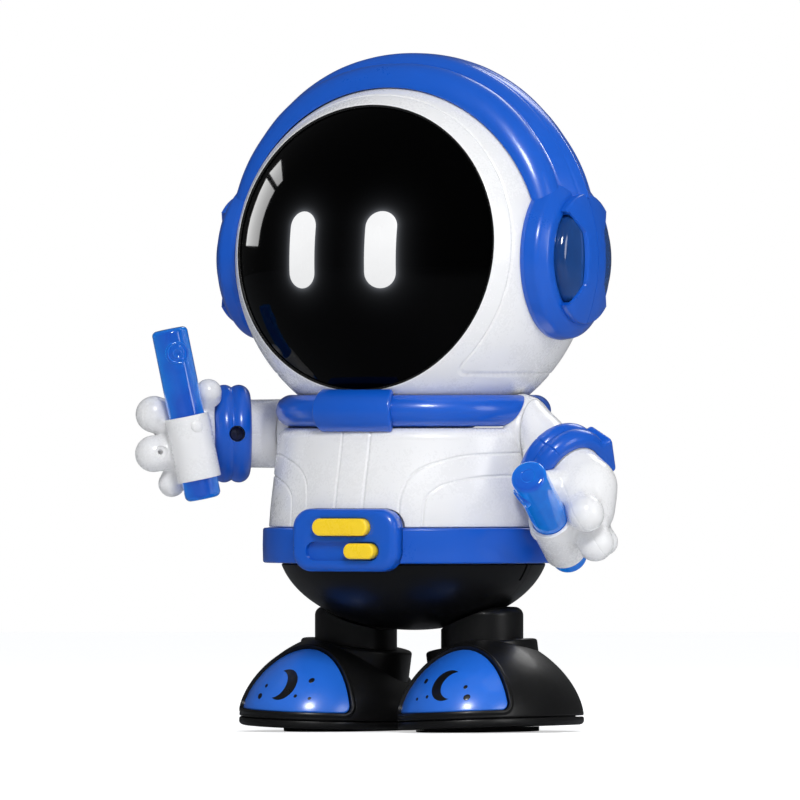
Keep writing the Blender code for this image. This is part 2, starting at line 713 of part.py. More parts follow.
def build_leg(sign, side, bowl_clear):
    """The parts that turn about the upright hip axis."""
    hip = pivot("hip_axis_" + side, body_point(sign * LEG_X, LEG_FORWARD, 0))
    # turned half a pitch so that a gap faces the drive gear
    gear = piece("hip_gear_" + side, gear_mesh(HIP_TEETH, math.pi / HIP_TEETH), "nylon", hip)
    boolean(gear, hidden("hip_gear_bore_" + side, cylinder(4.1, 40, 50), hip))

    # the ankle axis leans towards the middle of the body
    lean = Vector((-sign * math.sin(COLLAR_TILT), 0, math.cos(COLLAR_TILT)))
    ankle_frame = frame_at(offset(0, 0, COLLAR_Z), lean)
    post = piece("ankle_post_" + side, lathe(ANKLE_POST, 16), "black", hip)
    boolean(post, bowl_clear)
    boolean(post, hidden("post_foot_cut_" + side,
                         cylinder(40, -30, COLLAR_THICK / 2 + GAP, 16, ankle_frame), hip))
    boolean(post, hidden("post_shaft_" + side, cylinder(4.0, 28, 54), hip), "UNION")
    boolean(post, hidden("post_spigot_" + side, lathe(ANKLE_SPIGOT, frame=ankle_frame), hip),
            "UNION")


# ============================================================ feet
def shoe_ring(in_shoe, scale, z, less=0.0, seg=28):
    ring = []
    for i in range(seg):
        angle = 2 * math.pi * i / seg
        ring.append(in_shoe((FOOT_HALF_W - less) * scale * math.cos(angle),
                            (FOOT_HALF_L - less) * scale * math.sin(angle), z))
    return ring


def shoe_dome(in_shoe, less, base):
    """The shoe's upper, smaller by less all round, with its underside at base."""
    rings = [shoe_ring(in_shoe, 1.0, base, less)]
    for i in range(1, DOME_STEPS + 1):
        # even steps along the curve
        part = DOME_CUT * math.sin(math.pi / 2 * i / DOME_STEPS)
        scale = (1 - part ** DOME_POWER) ** (1 / DOME_POWER)
        rings.append(shoe_ring(in_shoe, scale, DOME_Z + (FOOT_H - less) * part, less))
    return loft(rings)


def toe_prism(in_shoe, grow=0.0):
    """The front of the shoe, behind a curved line that runs back at its middle."""
    plan = [(x, TOE_BACK - grow + 0.0215 * x * x) for x in (-22, -16, -9, 0, 9, 16, 22)]
    plan += [(22, 45), (-22, 45)]
    return prism(plan, TOE_BOTTOM - grow, 45, in_shoe)


def sole_pad_mesh(sign, to_ankle):
    """A thin wedge under the sole, with a level underside on the floor."""
    bottom, top = [], []
    for i in range(20):
        angle = 2 * math.pi * i / 20
        x = FOOT_X - 4.5 + 14.5 * math.cos(angle)
        forward = FOOT_FORWARD + 29.0 * math.sin(angle)
        sole_z = FOOT_LIFT + (x - FOOT_X) * math.tan(FOOT_ROLL) - GAP / 2
        bottom.append(to_ankle @ body_point(sign * x, forward, 0.0))
        top.append(to_ankle @ body_point(sign * x, forward, sole_z))
    return loft([bottom, top], 20)


def build_foot(sign, side):
    """The parts that turn about the inclined ankle axis."""
    ankle_at = body_point(sign * LEG_X, LEG_FORWARD, COLLAR_Z)
    ankle = pivot("ankle_axis_" + side, ankle_at, (0.0, -sign * COLLAR_TILT, 0.0))
    piece("foot_collar_" + side, lathe(FOOT_COLLAR, 18), "black", ankle)

    to_ankle = (Matrix.Translation(ankle_at)
                @ Matrix.Rotation(-sign * COLLAR_TILT, 4, "Y")).inverted()
    # the shoe is rolled so that its outer edge is a little off the floor
    shoe = (Matrix.Translation(body_point(sign * FOOT_X, FOOT_FORWARD, FOOT_LIFT))
            @ Matrix.Rotation(-sign * FOOT_ROLL, 4, "Y"))
    shoe_to_ankle = to_ankle @ shoe

    def in_shoe(outward, forward, up):
        return shoe_to_ankle @ offset(sign * outward, forward, up)

    pocket = hidden("collar_pocket_" + side,
                    cylinder(COLLAR_R + GAP, -COLLAR_SKIRT - GAP, 30, 18), ankle)
    inside = hidden("shoe_inside_" + side, shoe_dome(in_shoe, FOOT_WALL, -1.0), ankle)
    toe_room = hidden("toe_room_" + side, toe_prism(in_shoe, GAP), ankle)
    toe_body = hidden("toe_body_" + side, toe_prism(in_shoe), ankle)

    shell = piece("foot_shell_" + side, shoe_dome(in_shoe, 0.0, 2.7), "black", ankle)
    for cutter in (inside, pocket, toe_room):
        boolean(shell, cutter)
    toe = piece("toe_cap_" + side, shoe_dome(in_shoe, 0.0, 2.7), "blue", ankle)
    for cutter in (inside, pocket):
        boolean(toe, cutter)
    boolean(toe, toe_body, "INTERSECT")

    sole = loft([shoe_ring(in_shoe, scale, z)
                 for scale, z in ((0.975, 0.0), (1.0, 0.6), (1.0, 2.4))])
    piece("sole_plate_" + side, sole, "black", ankle)
    piece("sole_pad_" + side, sole_pad_mesh(sign, to_ankle), "rubber", ankle)


# ============================================================ arms
# radius about the shoulder axis, distance outward from the body's axis
ARM_AXLE = [(0, 34.8), (7.5, 34.8), (7.5, 36.5), (5.0, 36.5), (5.0, 42.5), (0, 42.5)]
# distance from the cuff's axis, half length along the arm, half height
CUFF_PAD = [(11.6, 5.3, 6.2), (15.2, 5.3, 6.2), (16.0, 4.6, 5.5)]
# start and end as (outward, forward, up), radius at the start and at the end
FINGERS = [
    ((64.2, 26.5, 3.1), (70.3, 33.6, 5.8), 5.4, 5.45),
    ((64.1, 28.2, -5.2), (69.3, 35.8, -6.0), 5.4, 5.45),
    ((63.4, 26.2, -8.0), (66.7, 29.0, -15.0), 4.7, 3.95),
    ((59.2, 22.8, 5.6), (54.8, 28.0, 12.4), 5.0, 3.95)]
# radius, distance along the stick from its middle
LIGHT_STICK = [
    (0, -STICK_HALF), (3.9, -STICK_HALF), (STICK_R - 0.3, -STICK_HALF + 0.6),
    (STICK_R, -STICK_HALF + 1.8), (STICK_R, STICK_HALF - 1.8),
    (STICK_R - 0.3, STICK_HALF - 0.6), (3.9, STICK_HALF), (0, STICK_HALF)]


def arm_point(sign, outward, forward, up):
    return offset(sign * outward, forward, up)


def cuff_point(sign, along, inward=0.0, up=0.0):
    """From the cuff's centre: along the forearm, and square to it to the inner front."""
    return arm_point(sign, CUFF_OUT + along * ARM_OUT - inward * ARM_FORWARD,
                     CUFF_FORWARD + along * ARM_FORWARD + inward * ARM_OUT, up)


def stick_point(sign, distance):
    return arm_point(sign, *(STICK_CENTRE + STICK_AXIS * distance))


def arm_ring(sign, outward, forward, angle, radius, seg=20):
    ring = []
    for i in range(seg):
        turn = 2 * math.pi * i / seg
        level = radius * math.cos(turn)
        ring.append(arm_point(sign, outward - math.sin(angle) * level,
                              forward + math.cos(angle) * level, radius * math.sin(turn)))
    return ring


def build_upper_arm(arm, sign, side):
    """A bent sleeve from the shoulder into the cuff, with its axle joined on."""
    bend_start = SHOULDER_X + 0.5
    bend_end = CUFF_OUT - CUFF_HALF * ARM_OUT
    bend_forward = CUFF_FORWARD - CUFF_HALF * ARM_FORWARD
    sections = [arm_ring(sign, SHOULDER_X, 0, 0, ARM_R),
                arm_ring(sign, bend_start, 0.1, 0, 10.45)]
    # part of the way along the bend, part of the turn made there
    for part, turned in ((0.3, 0.2), (0.65, 0.68)):
        sections.append(arm_ring(sign, bend_start + (bend_end - bend_start) * part,
                                 bend_forward * part, ARM_TURN * turned, 10.4 - 0.2 * part))
    sections.append(arm_ring(sign, bend_end, bend_forward, ARM_TURN, ARM_R))
    sections.append(arm_ring(sign, CUFF_OUT + 5.2 * ARM_OUT, CUFF_FORWARD + 5.2 * ARM_FORWARD,
                             ARM_TURN, ARM_R))
    upper = piece("upper_arm_" + side, loft(sections), "white", arm)
    axle = hidden("arm_axle_" + side, lathe(ARM_AXLE, frame=side_frame(sign)), arm)
    boolean(upper, axle, "UNION")


def cuff_outline():
    """Two rounded ribs side by side, with a shallow groove between them."""
    outer_r, rib_r, rib_offset = 14.7, 3.4, 2.2
    outline = [(ARM_R + GAP, -CUFF_HALF)]
    for centre, angles in ((-rib_offset, (-80, -45, -10, 18, 39)),
                           (rib_offset, (-39, -18, 10, 45, 80))):
        for degrees in angles:
            angle = math.radians(degrees)
            outline.append((outer_r - rib_r + rib_r * math.cos(angle),
                            centre + rib_r * math.sin(angle)))
    outline.append((ARM_R + GAP, CUFF_HALF))
    return outline


def cuff_pad_mesh(sign):
    """A raised pad on the cuff's outer rear side, turned a little downwards."""
    pad_cos, pad_sin = math.cos(PAD_TURN), math.sin(PAD_TURN)
    sections = []
    for distance, half_l, half_h in CUFF_PAD:
        sections.append([cuff_point(sign, along, -(distance * pad_cos + across * pad_sin),
                                    across * pad_cos - distance * pad_sin)
                         for along, across in round_box(half_l, half_h, 1.5, 3)])
    return loft(sections)


def build_cuff(arm, sign, side):
    frame = frame_at(cuff_point(sign, 0), arm_point(sign, ARM_OUT, ARM_FORWARD, 0))
    cuff = piece("cuff_" + side, lathe(cuff_outline(), 18, frame), "blue", arm)
    boolean(cuff, hidden("cuff_pad_" + side, cuff_pad_mesh(sign), arm), "UNION")

    def screw_bar(start, end, radius):
        return bar(cuff_point(sign, -1, start), cuff_point(sign, -1, end), radius)

    boolean(cuff, hidden("cuff_hole_" + side, screw_bar(8.0, 20.0, 2.4), arm))
    piece("cuff_screw_" + side, screw_bar(10.6, 12.2, 2.0), "steel", arm)


def build_hand(arm, sign, side):
    """A fist whose fingers close round the light stick's holder."""
    def place(outward, forward, up):
        return arm_point(sign, outward, forward, up)

    palm = ball((62.6, 25.4, -1.6), 11.0, place, 14, 8, (0.98, 0.92, 1.05))
    hand = piece("hand_" + side, palm, "white", arm)
    wrist = bar(cuff_point(sign, 4.6), cuff_point(sign, 11.3), 10.9, 9.7)
    holder = bar(stick_point(sign, -20.0), stick_point(sign, -0.6), 6.6)
    fingers = [round_ended_bar(place(*start), place(*end), start_r, end_r)
               for start, end, start_r, end_r in FINGERS]
    for n, lump in enumerate([wrist, holder] + fingers):
        boolean(hand, hidden("hand_lump_%d_%s" % (n, side), lump, arm), "UNION", "MANIFOLD")
    bore = bar(stick_point(sign, -40), stick_point(sign, 40), STICK_R + GAP, seg=14)
    boolean(hand, hidden("stick_bore_" + side, bore, arm), solver="MANIFOLD")
    # trims the hand flat where it meets the cuff
    face = bar(cuff_point(sign, -20), cuff_point(sign, 5.9), 15.1)
    boolean(hand, hidden("wrist_face_" + side, face, arm), solver="MANIFOLD")


def build_arm(sign, side, drop):
    arm = pivot("shoulder_axis_" + side, body_point(0, 0, SHOULDER_Z), (drop, 0.0, 0.0))
    build_upper_arm(arm, sign, side)
    build_cuff(arm, sign, side)
    build_hand(arm, sign, side)
    stick_frame = frame_at(stick_point(sign, 0), arm_point(sign, *STICK_AXIS))
    piece("light_stick_" + side, lathe(LIGHT_STICK, frame=stick_frame), "stick", arm)


# ============================================================ the whole robot
def clear_scene():
    for old in list(bpy.data.objects):
        bpy.data.objects.remove(old, do_unlink=True)
    for old in list(bpy.data.meshes):
        bpy.data.meshes.remove(old)


def build_robot():
    # half-spaces that divide a shell into a front and a rear moulding
    rear_half = hidden("half_rear", block((-90, 90), (-90, GAP / 2), (-20, 230)))
    front_half = hidden("half_front", block((-90, 90), (-GAP / 2, 90), (-20, 230)))
    head_clear = hidden("head_clear",
                        ball((0, 0, HEAD_Z), HEAD_R + 2 * GAP, body_point, 32, 22))
    bowl_clear = hidden("bowl_clear", lathe(bowl_profile(0.95, 52.0, 8) + [(0, 52.0)],
                                            24, upright(), BODY_SQUASH))

    build_head(rear_half, front_half)
    build_neck(head_clear)
    torso_front = build_torso(rear_half, front_half, head_clear)
    build_belt(torso_front)
    build_inside()
    build_hip_bowl(rear_half, front_half)
    build_drive_gear()
    for sign, side in SIDES:
        build_leg(sign, side, bowl_clear)
        build_foot(sign, side)
        build_arm(sign, side, LEFT_ARM_DROP if side == "left" else 0.0)


clear_scene()
build_robot()
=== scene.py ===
# A toy robot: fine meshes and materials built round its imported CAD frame.
# It stands on z = 0 and faces -Y, with its own left towards +X. Lengths are millimetres
# given as (left, forward, up) from the body's axis, unless a name says otherwise;
# world() turns them into metres. In paired pieces, sign is 1 for the left, -1 for the right.
import json
import math

import bmesh
import bpy
import numpy as np
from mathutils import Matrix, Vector

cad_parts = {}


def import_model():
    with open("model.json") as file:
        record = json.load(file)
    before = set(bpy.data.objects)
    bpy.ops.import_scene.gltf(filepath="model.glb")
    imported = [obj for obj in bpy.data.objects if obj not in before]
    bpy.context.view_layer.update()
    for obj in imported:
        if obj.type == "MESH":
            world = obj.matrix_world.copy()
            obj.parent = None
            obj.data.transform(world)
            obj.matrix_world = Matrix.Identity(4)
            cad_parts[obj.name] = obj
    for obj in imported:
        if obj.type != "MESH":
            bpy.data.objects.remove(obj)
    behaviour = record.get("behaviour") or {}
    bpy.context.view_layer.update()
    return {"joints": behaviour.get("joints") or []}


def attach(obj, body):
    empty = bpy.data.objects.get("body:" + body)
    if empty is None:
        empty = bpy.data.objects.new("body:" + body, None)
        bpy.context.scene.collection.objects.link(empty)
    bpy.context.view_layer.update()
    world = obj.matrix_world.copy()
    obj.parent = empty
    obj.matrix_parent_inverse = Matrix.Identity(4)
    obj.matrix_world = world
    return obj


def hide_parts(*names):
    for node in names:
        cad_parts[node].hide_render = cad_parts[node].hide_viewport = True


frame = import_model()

MM = 0.001
SIDES = ((1, "left"), (-1, "right"))
JOINTS = {joint["name"]: joint for joint in frame["joints"]}
AXIS_Y = JOINTS["head_turn"]["pos_m"][1] / MM
HEAD_Z = JOINTS["head_turn"]["pos_m"][2] / MM
SHOULDER_X = JOINTS["shoulder_left"]["pos_m"][0] / MM
SHOULDER_Z = JOINTS["shoulder_left"]["pos_m"][2] / MM
LEG_X = JOINTS["hip_twist_left"]["pos_m"][0] / MM
LEG_FORWARD = AXIS_Y - JOINTS["hip_twist_left"]["pos_m"][1] / MM
COLLAR_Z = JOINTS["ankle_swivel_left"]["pos_m"][2] / MM
VIEW = math.radians(27.3)           # the camera stands this far round to the robot's left
LEFT_ARM_DROP = math.radians(54)    # below level


def steps(full):
    return full


# ------------------------------------------------------------------ numbers
def world(left, forward, up):
    """World metres from millimetres."""
    left, forward, up = np.broadcast_arrays(*(np.asarray(v, float) for v in (left, forward, up)))
    return np.stack([left * MM, (AXIS_Y - forward) * MM, up * MM], -1)


def world_points(points):
    return world(points[..., 0], points[..., 1], points[..., 2])


def unit(vector):
    vector = np.asarray(vector, float)
    return vector / np.linalg.norm(vector)


def smoothstep(t):
    t = np.clip(t, 0, 1)
    return t * t * (3 - 2 * t)


def edge_drop(distance, radius):
    """How far a surface sinks within a radius of its edge, for a round edge."""
    t = np.clip(distance, 0, radius)
    return radius - np.sqrt(np.maximum(radius * radius - (radius - t) ** 2, 0))


def groove(distance, half_width, depth):
    """Depth of a round-bottomed groove at a distance from its centre line."""
    t = np.clip(np.abs(distance) / half_width, 0, 1)
    return depth * (1 - t * t) ** 2


def line_distance(px, py, line):
    """Distance of many points from a polyline."""
    best = np.full(np.shape(px), 1e9)
    for (ax, ay), (bx, by) in zip(line[:-1], line[1:]):
        dx, dy = bx - ax, by - ay
        t = np.clip(((px - ax) * dx + (py - ay) * dy) / (dx * dx + dy * dy + 1e-12), 0, 1)
        best = np.minimum(best, np.hypot(px - ax - t * dx, py - ay - t * dy))
    return best


def smooth_line(points, n=8):
    """Catmull-Rom curve through points, n steps to a span."""
    p = [np.array(q, float) for q in points]
    p = [2 * p[0] - p[1]] + p + [2 * p[-1] - p[-2]]
    out = []
    for i in range(1, len(p) - 2):
        before, here, after, beyond = p[i - 1:i + 3]
        for k in range(n):
            t = k / n
            out.append(0.5 * (2 * here + (after - before) * t
                              + (2 * before - 5 * here + 4 * after - beyond) * t * t
                              + (3 * here - before - 3 * after + beyond) * t ** 3))
    out.append(p[-2])
    return out


def spline(knots, values, at):
    """Smooth cubic through the knots."""
    knots, values, at = map(np.asarray, (knots, values, at))
    width = np.diff(knots)
    slope = np.diff(values) / width
    tangent = np.concatenate([[slope[0]], (slope[1:] + slope[:-1]) / 2, [slope[-1]]])
    k = np.clip(np.searchsorted(knots, at) - 1, 0, len(knots) - 2)
    t = (at - knots[k]) / width[k]
    return ((2 * t ** 3 - 3 * t ** 2 + 1) * values[k]
            + (t ** 3 - 2 * t ** 2 + t) * width[k] * tangent[k]
            + (-2 * t ** 3 + 3 * t ** 2) * values[k + 1]
            + (t ** 3 - t ** 2) * width[k] * tangent[k + 1])


def fillet(points, n=6, closed=True):
    """Rounds the corners of an outline whose points are (x, y, radius)."""
    out = []
    count = len(points)
    for i, (x, y, radius) in enumerate(points):
        if radius <= 0 or (not closed and i in (0, count - 1)):
            out.append((x, y))
            continue
        corner = np.array((x, y), float)
        back = np.array(points[(i - 1) % count][:2], float) - corner
        ahead = np.array(points[(i + 1) % count][:2], float) - corner
        back_len, ahead_len = np.linalg.norm(back), np.linalg.norm(ahead)
        back, ahead = back / back_len, ahead / ahead_len
        angle = math.acos(max(-1, min(1, float(back @ ahead))))
        if angle > math.pi - 1e-3:
            out.append((x, y))
            continue
        reach = min(radius / math.tan(angle / 2), 0.49 * back_len, 0.49 * ahead_len)
        fitted = reach * math.tan(angle / 2)
        centre = corner + unit(back + ahead) * fitted / math.sin(angle / 2)
        start, end = corner + back * reach - centre, corner + ahead * reach - centre
        a0, a1 = math.atan2(start[1], start[0]), math.atan2(end[1], end[0])
        while a1 - a0 > math.pi:
            a1 -= 2 * math.pi
        while a1 - a0 < -math.pi:
            a1 += 2 * math.pi
        for k in range(n + 1):
            turn = a0 + (a1 - a0) * k / n
            out.append((centre[0] + fitted * math.cos(turn), centre[1] + fitted * math.sin(turn)))
    return out


def box_outline(half_w, half_h, radius, n=10):
    corners = ((half_w, half_h), (-half_w, half_h), (-half_w, -half_h), (half_w, -half_h))
    return fillet([(x, y, radius) for x, y in corners], n)


def edged(n, radius, length, k=5):
    """Parameters 0..1 with extra rows near both ends, for round edges."""
    end = (radius / length) * (1 - np.cos(np.linspace(0, math.pi / 2, k + 1)))
    middle = np.linspace(end[-1], 1 - end[-1], n)
    return np.concatenate([end[:-1], middle, 1 - end[:-1][::-1]])


def frame_of(origin, axis, x_towards=(0, 0, 1), place=world_points):
    """A function from local (u, v, w) to world metres; w runs along the axis."""
    axis = unit(axis)
    x = np.asarray(x_towards, float)
    x = unit(x - axis * (x @ axis))
    y = np.cross(axis, x)
    origin = np.asarray(origin, float)

    def at(u, v, w):
        u, v, w = np.broadcast_arrays(*(np.asarray(c, float) for c in (u, v, w)))
        return place(origin + u[..., None] * x + v[..., None] * y + w[..., None] * axis)
    return at


def upright_at(left, forward, up):
    return frame_of((left, forward, up), (0, 0, 1), (1, 0, 0))


# ------------------------------------------------------------------ meshes
def make(name, points, quads=(), tris=(), mat=None, sharp=35):
    """A smooth-shaded object; its faces are turned to point outwards."""
    points = np.ascontiguousarray(np.asarray(points, float).reshape(-1, 3))
    quads = np.asarray(quads, np.int64).reshape(-1, 4)
    tris = np.asarray(tris, np.int64).reshape(-1, 3)
    rel = points - points.mean(0)
    every = np.concatenate([quads[:, [0, 1, 2]], quads[:, [0, 2, 3]], tris])
    crossed = np.cross(rel[every[:, 1]], rel[every[:, 2]])
    if np.einsum("ij,ij->", rel[every[:, 0]], crossed) < 0:
        quads, tris = quads[:, ::-1], tris[:, ::-1]
    me = bpy.data.meshes.new(name)
    me.vertices.add(len(points))
    me.vertices.foreach_set("co", points.ravel())
    me.loops.add(quads.size + tris.size)
    corners = np.concatenate([quads.ravel(), tris.ravel()])
    me.loops.foreach_set("vertex_index", corners.astype(np.int32))
    me.polygons.add(len(quads) + len(tris))
    starts = np.concatenate([np.arange(len(quads)) * 4, quads.size + np.arange(len(tris)) * 3])
    me.polygons.foreach_set("loop_start", starts.astype(np.int32))
    me.update(calc_edges=True)
    me.validate()
    me.shade_smooth()
    if sharp:
        me.set_sharp_from_angle(angle=math.radians(sharp))
    ob = bpy.data.objects.new(name, me)
    bpy.context.scene.collection.objects.link(ob)
    if mat:
        me.materials.append(mat)
    return ob


def grid_faces(rows, cols, wrap_rows=False, wrap_cols=False, offset=0, flip=False):
    """Four-sided faces over a grid of points numbered row by row."""
    i, k = np.meshgrid(np.arange(rows if wrap_rows else rows - 1),
                       np.arange(cols if wrap_cols else cols - 1), indexing="ij")
    i2, k2 = (i + 1) % rows, (k + 1) % cols
    corners = ((i, k), (i2, k), (i2, k2), (i, k2))
    quads = np.stack([offset + a * cols + b for a, b in corners], -1).reshape(-1, 4)
    return quads[:, ::-1] if flip else quads


def wall_faces(edge, count, flip):
    """Joins an edge of the outer grid to the inner one, whose numbers are count higher."""
    here, after = edge[:-1], edge[1:]
    quads = np.stack([here, count + here, count + after, after], -1)
    return quads[:, ::-1] if flip else quads


def fan_faces(here, after, pole):
    return np.stack([here, after, np.full(len(here), pole)], -1)


def shell(name, outer, inner, mat, wrap=False, sharp=35):
    """A closed wall between two grids of the same shape."""
    rows, cols = outer.shape[:2]
    count = rows * cols
    number = np.arange(count).reshape(rows, cols)
    if wrap:
        number = np.concatenate([number, number[:1]])
    faces = [grid_faces(rows, cols, wrap),
             grid_faces(rows, cols, wrap, offset=count, flip=True),
             wall_faces(number[:, 0], count, False),
             wall_faces(number[:, -1], count, True)]
    if not wrap:
        faces += [wall_faces(number[0], count, True), wall_faces(number[-1], count, False)]
    points = np.concatenate([outer.reshape(-1, 3), inner.reshape(-1, 3)])
    return make(name, points, np.concatenate(faces), (), mat, sharp)


def cap_shell(name, outer, inner, pole_out, pole_in, mat, sharp=35):
    """A closed wall between two grids round a pole; the last column closes on the poles."""
    rows, cols = outer.shape[:2]
    count = rows * cols
    number = np.arange(count).reshape(rows, cols)
    number = np.concatenate([number, number[:1]])
    quads = np.concatenate([grid_faces(rows, cols, True),
                            grid_faces(rows, cols, True, offset=count, flip=True),
                            wall_faces(number[:, 0], count, False)])
    here, after = number[:-1, -1], number[1:, -1]
    tris = np.concatenate([fan_faces(here, after, 2 * count),
                           fan_faces(count + after, count + here, 2 * count + 1)])
    points = np.concatenate([np.reshape(p, (-1, 3)) for p in (outer, inner, pole_out, pole_in)])
    return make(name, points, quads, tris, mat, sharp)


def loft(name, rings, mat, sharp=35):
    """Joins rings of points and closes both ends with fans."""
    rings = np.asarray(rings, float)
    count, size = rings.shape[:2]
    k = np.arange(size)
    tris = []
    for end, first in enumerate((0, (count - 1) * size)):
        centre = np.full(size, count * size + end)
        fan = np.stack([centre, first + k, first + (k + 1) % size], -1)
        tris.append(fan[:, ::-1] if end else fan)
    points = np.concatenate([rings.reshape(-1, 3), rings[0].mean(0)[None], rings[-1].mean(0)[None]])
    quads = grid_faces(count, size, wrap_cols=True)
    return make(name, points, quads, np.concatenate(tris), mat, sharp)


def lathe(name, profile, place, mat, seg=128, squash=1.0, sharp=35):
    """A solid of revolution about place's w axis; profile is a closed list of (radius, w)."""
    seg = steps(seg)
    a = np.linspace(0, 2 * math.pi, seg, endpoint=False)
    points, rows, total = [], [], 0
    for radius, w in profile:
        on_axis = abs(radius) < 1e-6
        if on_axis:
            points.append(place(0.0, 0.0, float(w)).reshape(1, 3))
        else:
            points.append(place(radius * np.cos(a), squash * radius * np.sin(a),
                                np.full(seg, float(w))))
        rows.append((total, on_axis))
        total += 1 if on_axis else seg
    i = np.arange(seg)
    i2 = (i + 1) % seg
    quads, tris = [], []
    for (low, low_pole), (high, high_pole) in zip(rows, rows[1:] + rows[:1]):
        if low_pole and high_pole:
            continue
        if low_pole:
            tris.append(np.stack([np.full(seg, low), high + i2, high + i], -1))
        elif high_pole:
            tris.append(np.stack([low + i, low + i2, np.full(seg, high)], -1))
        else:
            quads.append(np.stack([low + i, low + i2, high + i2, high + i], -1))
    quads = np.concatenate(quads) if quads else ()
    tris = np.concatenate(tris) if tris else ()
    return make(name, np.concatenate(points), quads, tris, mat, sharp)


def turned_tool(profile, place, seg, squash=1.0):
    return lathe("tool", profile, place, None, seg, squash)


def lofted_tool(rings):
    return loft("tool", rings, None, 0)


def front_ring(outline, forward, x=0.0, z=0.0):
    """An (x, z) outline, seen from the front, moved to a centre and a forward distance."""
    outline = np.asarray(outline)
    return world(x + outline[:, 0], forward, z + outline[:, 1])


def front_prism(outline, z, reach):
    """A tool that runs straight between two forward distances."""
    return lofted_tool([front_ring(outline, forward, z=z) for forward in reach])


def settle(ob):
    """Applies the modifiers, so that the mesh is final."""
    graph = bpy.context.evaluated_depsgraph_get()
    me = bpy.data.meshes.new_from_object(ob.evaluated_get(graph))
    ob.modifiers.clear()
    ob.data = me
    me.name = ob.name


def cut(ob, *tools, how="DIFFERENCE", sharp=40, solver="MANIFOLD", bevel=0.0, segs=3, angle=32):
    """Applies the tools together, bevels if asked, and removes the tools."""
    for tool in tools:
        boolean = ob.modifiers.new("cut", "BOOLEAN")
        boolean.operation, boolean.object, boolean.solver = how, tool, solver
    if bevel:
        edge = ob.modifiers.new("edge", "BEVEL")
        edge.width, edge.segments = bevel * MM, segs
        edge.limit_method, edge.angle_limit = "ANGLE", math.radians(angle)
    settle(ob)
    ob.data.shade_smooth()
    ob.data.set_sharp_from_angle(angle=math.radians(sharp))
    for tool in tools:
        bpy.data.objects.remove(tool, do_unlink=True)


def put(ob, body, slot, *nodes):
    """Tells the frame what a piece rides on and hides the CAD it replaces; slot is not used."""
    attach(ob, body)
    if nodes:
        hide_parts(*nodes)


# ------------------------------------------------------------------ materials
class Nodes:
    """Short ways to build the node tree of a material or a world."""

    def __init__(self, owner):
        owner.use_nodes = True
        self.owner = owner
        self.tree = owner.node_tree
        self.shader = self.tree.nodes.get("Principled BSDF")
        self.coords = self.node("ShaderNodeTexCoord")

    def feed(self, socket, value):
        if isinstance(value, bpy.types.NodeSocket):
            self.tree.links.new(value, socket)
        elif socket.type == "RGBA":
            socket.default_value = (*value, 1.0)
        else:
            socket.default_value = value

    def node(self, kind, inputs=None, **settings):
        node = self.tree.nodes.new(kind)
        for key, value in settings.items():
            setattr(node, key, value)
        for key, value in (inputs or {}).items():
            self.feed(node.inputs[key], value)
        return node

    def surface(self, values):
        for key, value in values.items():
            self.feed(self.shader.inputs[key], value)

    def noise(self, scale, detail=3.0, rough=0.5):
        return self.node("ShaderNodeTexNoise", {
            "Scale": scale, "Detail": detail, "Roughness": rough,
            "Vector": self.coords.outputs["Object"]}).outputs["Fac"]

    def ramp(self, value, span, to=(0.0, 1.0)):
        return self.node("ShaderNodeMapRange", {
            "From Min": span[0], "From Max": span[1], "To Min": to[0], "To Max": to[1],
            "Value": value}).outputs["Result"]

    def mottle(self, scale, to, detail=3.0, rough=0.5, span=(0.3, 0.7)):
        """Noise whose span is spread over the range to."""
        return self.ramp(self.noise(scale, detail, rough), span, to)

    def mix(self, factor, a, b):
        # the colour sockets of a Mix node are inputs 6 and 7, and output 2
        return self.node("ShaderNodeMix", {0: factor, 6: a, 7: b}, data_type="RGBA").outputs[2]

    def math(self, operation, *values, clamp=False):
        return self.node("ShaderNodeMath", dict(enumerate(values)),
                         operation=operation, use_clamp=clamp).outputs[0]

    def split(self, vector):
        return self.node("ShaderNodeSeparateXYZ", {0: vector}).outputs

    def bump(self, height, strength, distance, normal=None):
        node = self.node("ShaderNodeBump", {
            "Strength": strength, "Distance": distance, "Height": height})
        if normal is not None:
            self.feed(node.inputs["Normal"], normal)
        return node.outputs["Normal"]


def new_material(name):
    return Nodes(bpy.data.materials.new(name))


def plastic(name, rgb, rough, coat, var, peel, spec=0.5, wear=0.0, sss=0.0, coat_rough=0.08):
    """Moulded plastic: colour drift (var), orange peel, uneven gloss, edges rubbed pale (wear)."""
    k = new_material(name)
    drift = k.mottle(scale=38, detail=2.0, to=(0.0, 1.0))
    colour = k.mix(drift, tuple(c * (1 - var) for c in rgb),
                   tuple(min(1.0, c * (1 + var)) for c in rgb))
    if wear:
        pointed = k.node("ShaderNodeNewGeometry").outputs["Pointiness"]
        edge = k.ramp(pointed, span=(0.53, 0.60), to=(0.0, wear))
        scuff = k.mottle(scale=520, detail=4.0, rough=0.7, span=(0.45, 0.7), to=(0.2, 1.0))
        rubbed = tuple(min(1.0, c * 1.6 + 0.06) for c in rgb)
        colour = k.mix(k.math("MULTIPLY", edge, scuff), colour, rubbed)
    gloss = k.mottle(scale=75, span=(0.25, 0.75), to=(rough * 0.86, rough * 1.2))
    hair = k.mottle(scale=1400, detail=2.0, rough=0.6, span=(0.35, 0.65), to=(-0.02, 0.02))
    k.surface({"Base Color": colour, "Roughness": k.math("ADD", gloss, hair),
               "Coat Weight": coat, "Coat Roughness": coat_rough, "Specular IOR Level": spec})
    if sss:
        k.surface({"Subsurface Weight": sss, "Subsurface Radius": (1.0, 0.9, 0.8),
                   "Subsurface Scale": 0.0015})
    fine = k.bump(k.noise(scale=900, detail=2.0), strength=peel, distance=0.00004)
    wavy = k.bump(k.noise(scale=150, detail=2.0), strength=peel * 0.6, distance=0.00008,
                  normal=fine)
    k.surface({"Normal": wavy})
    return k.owner


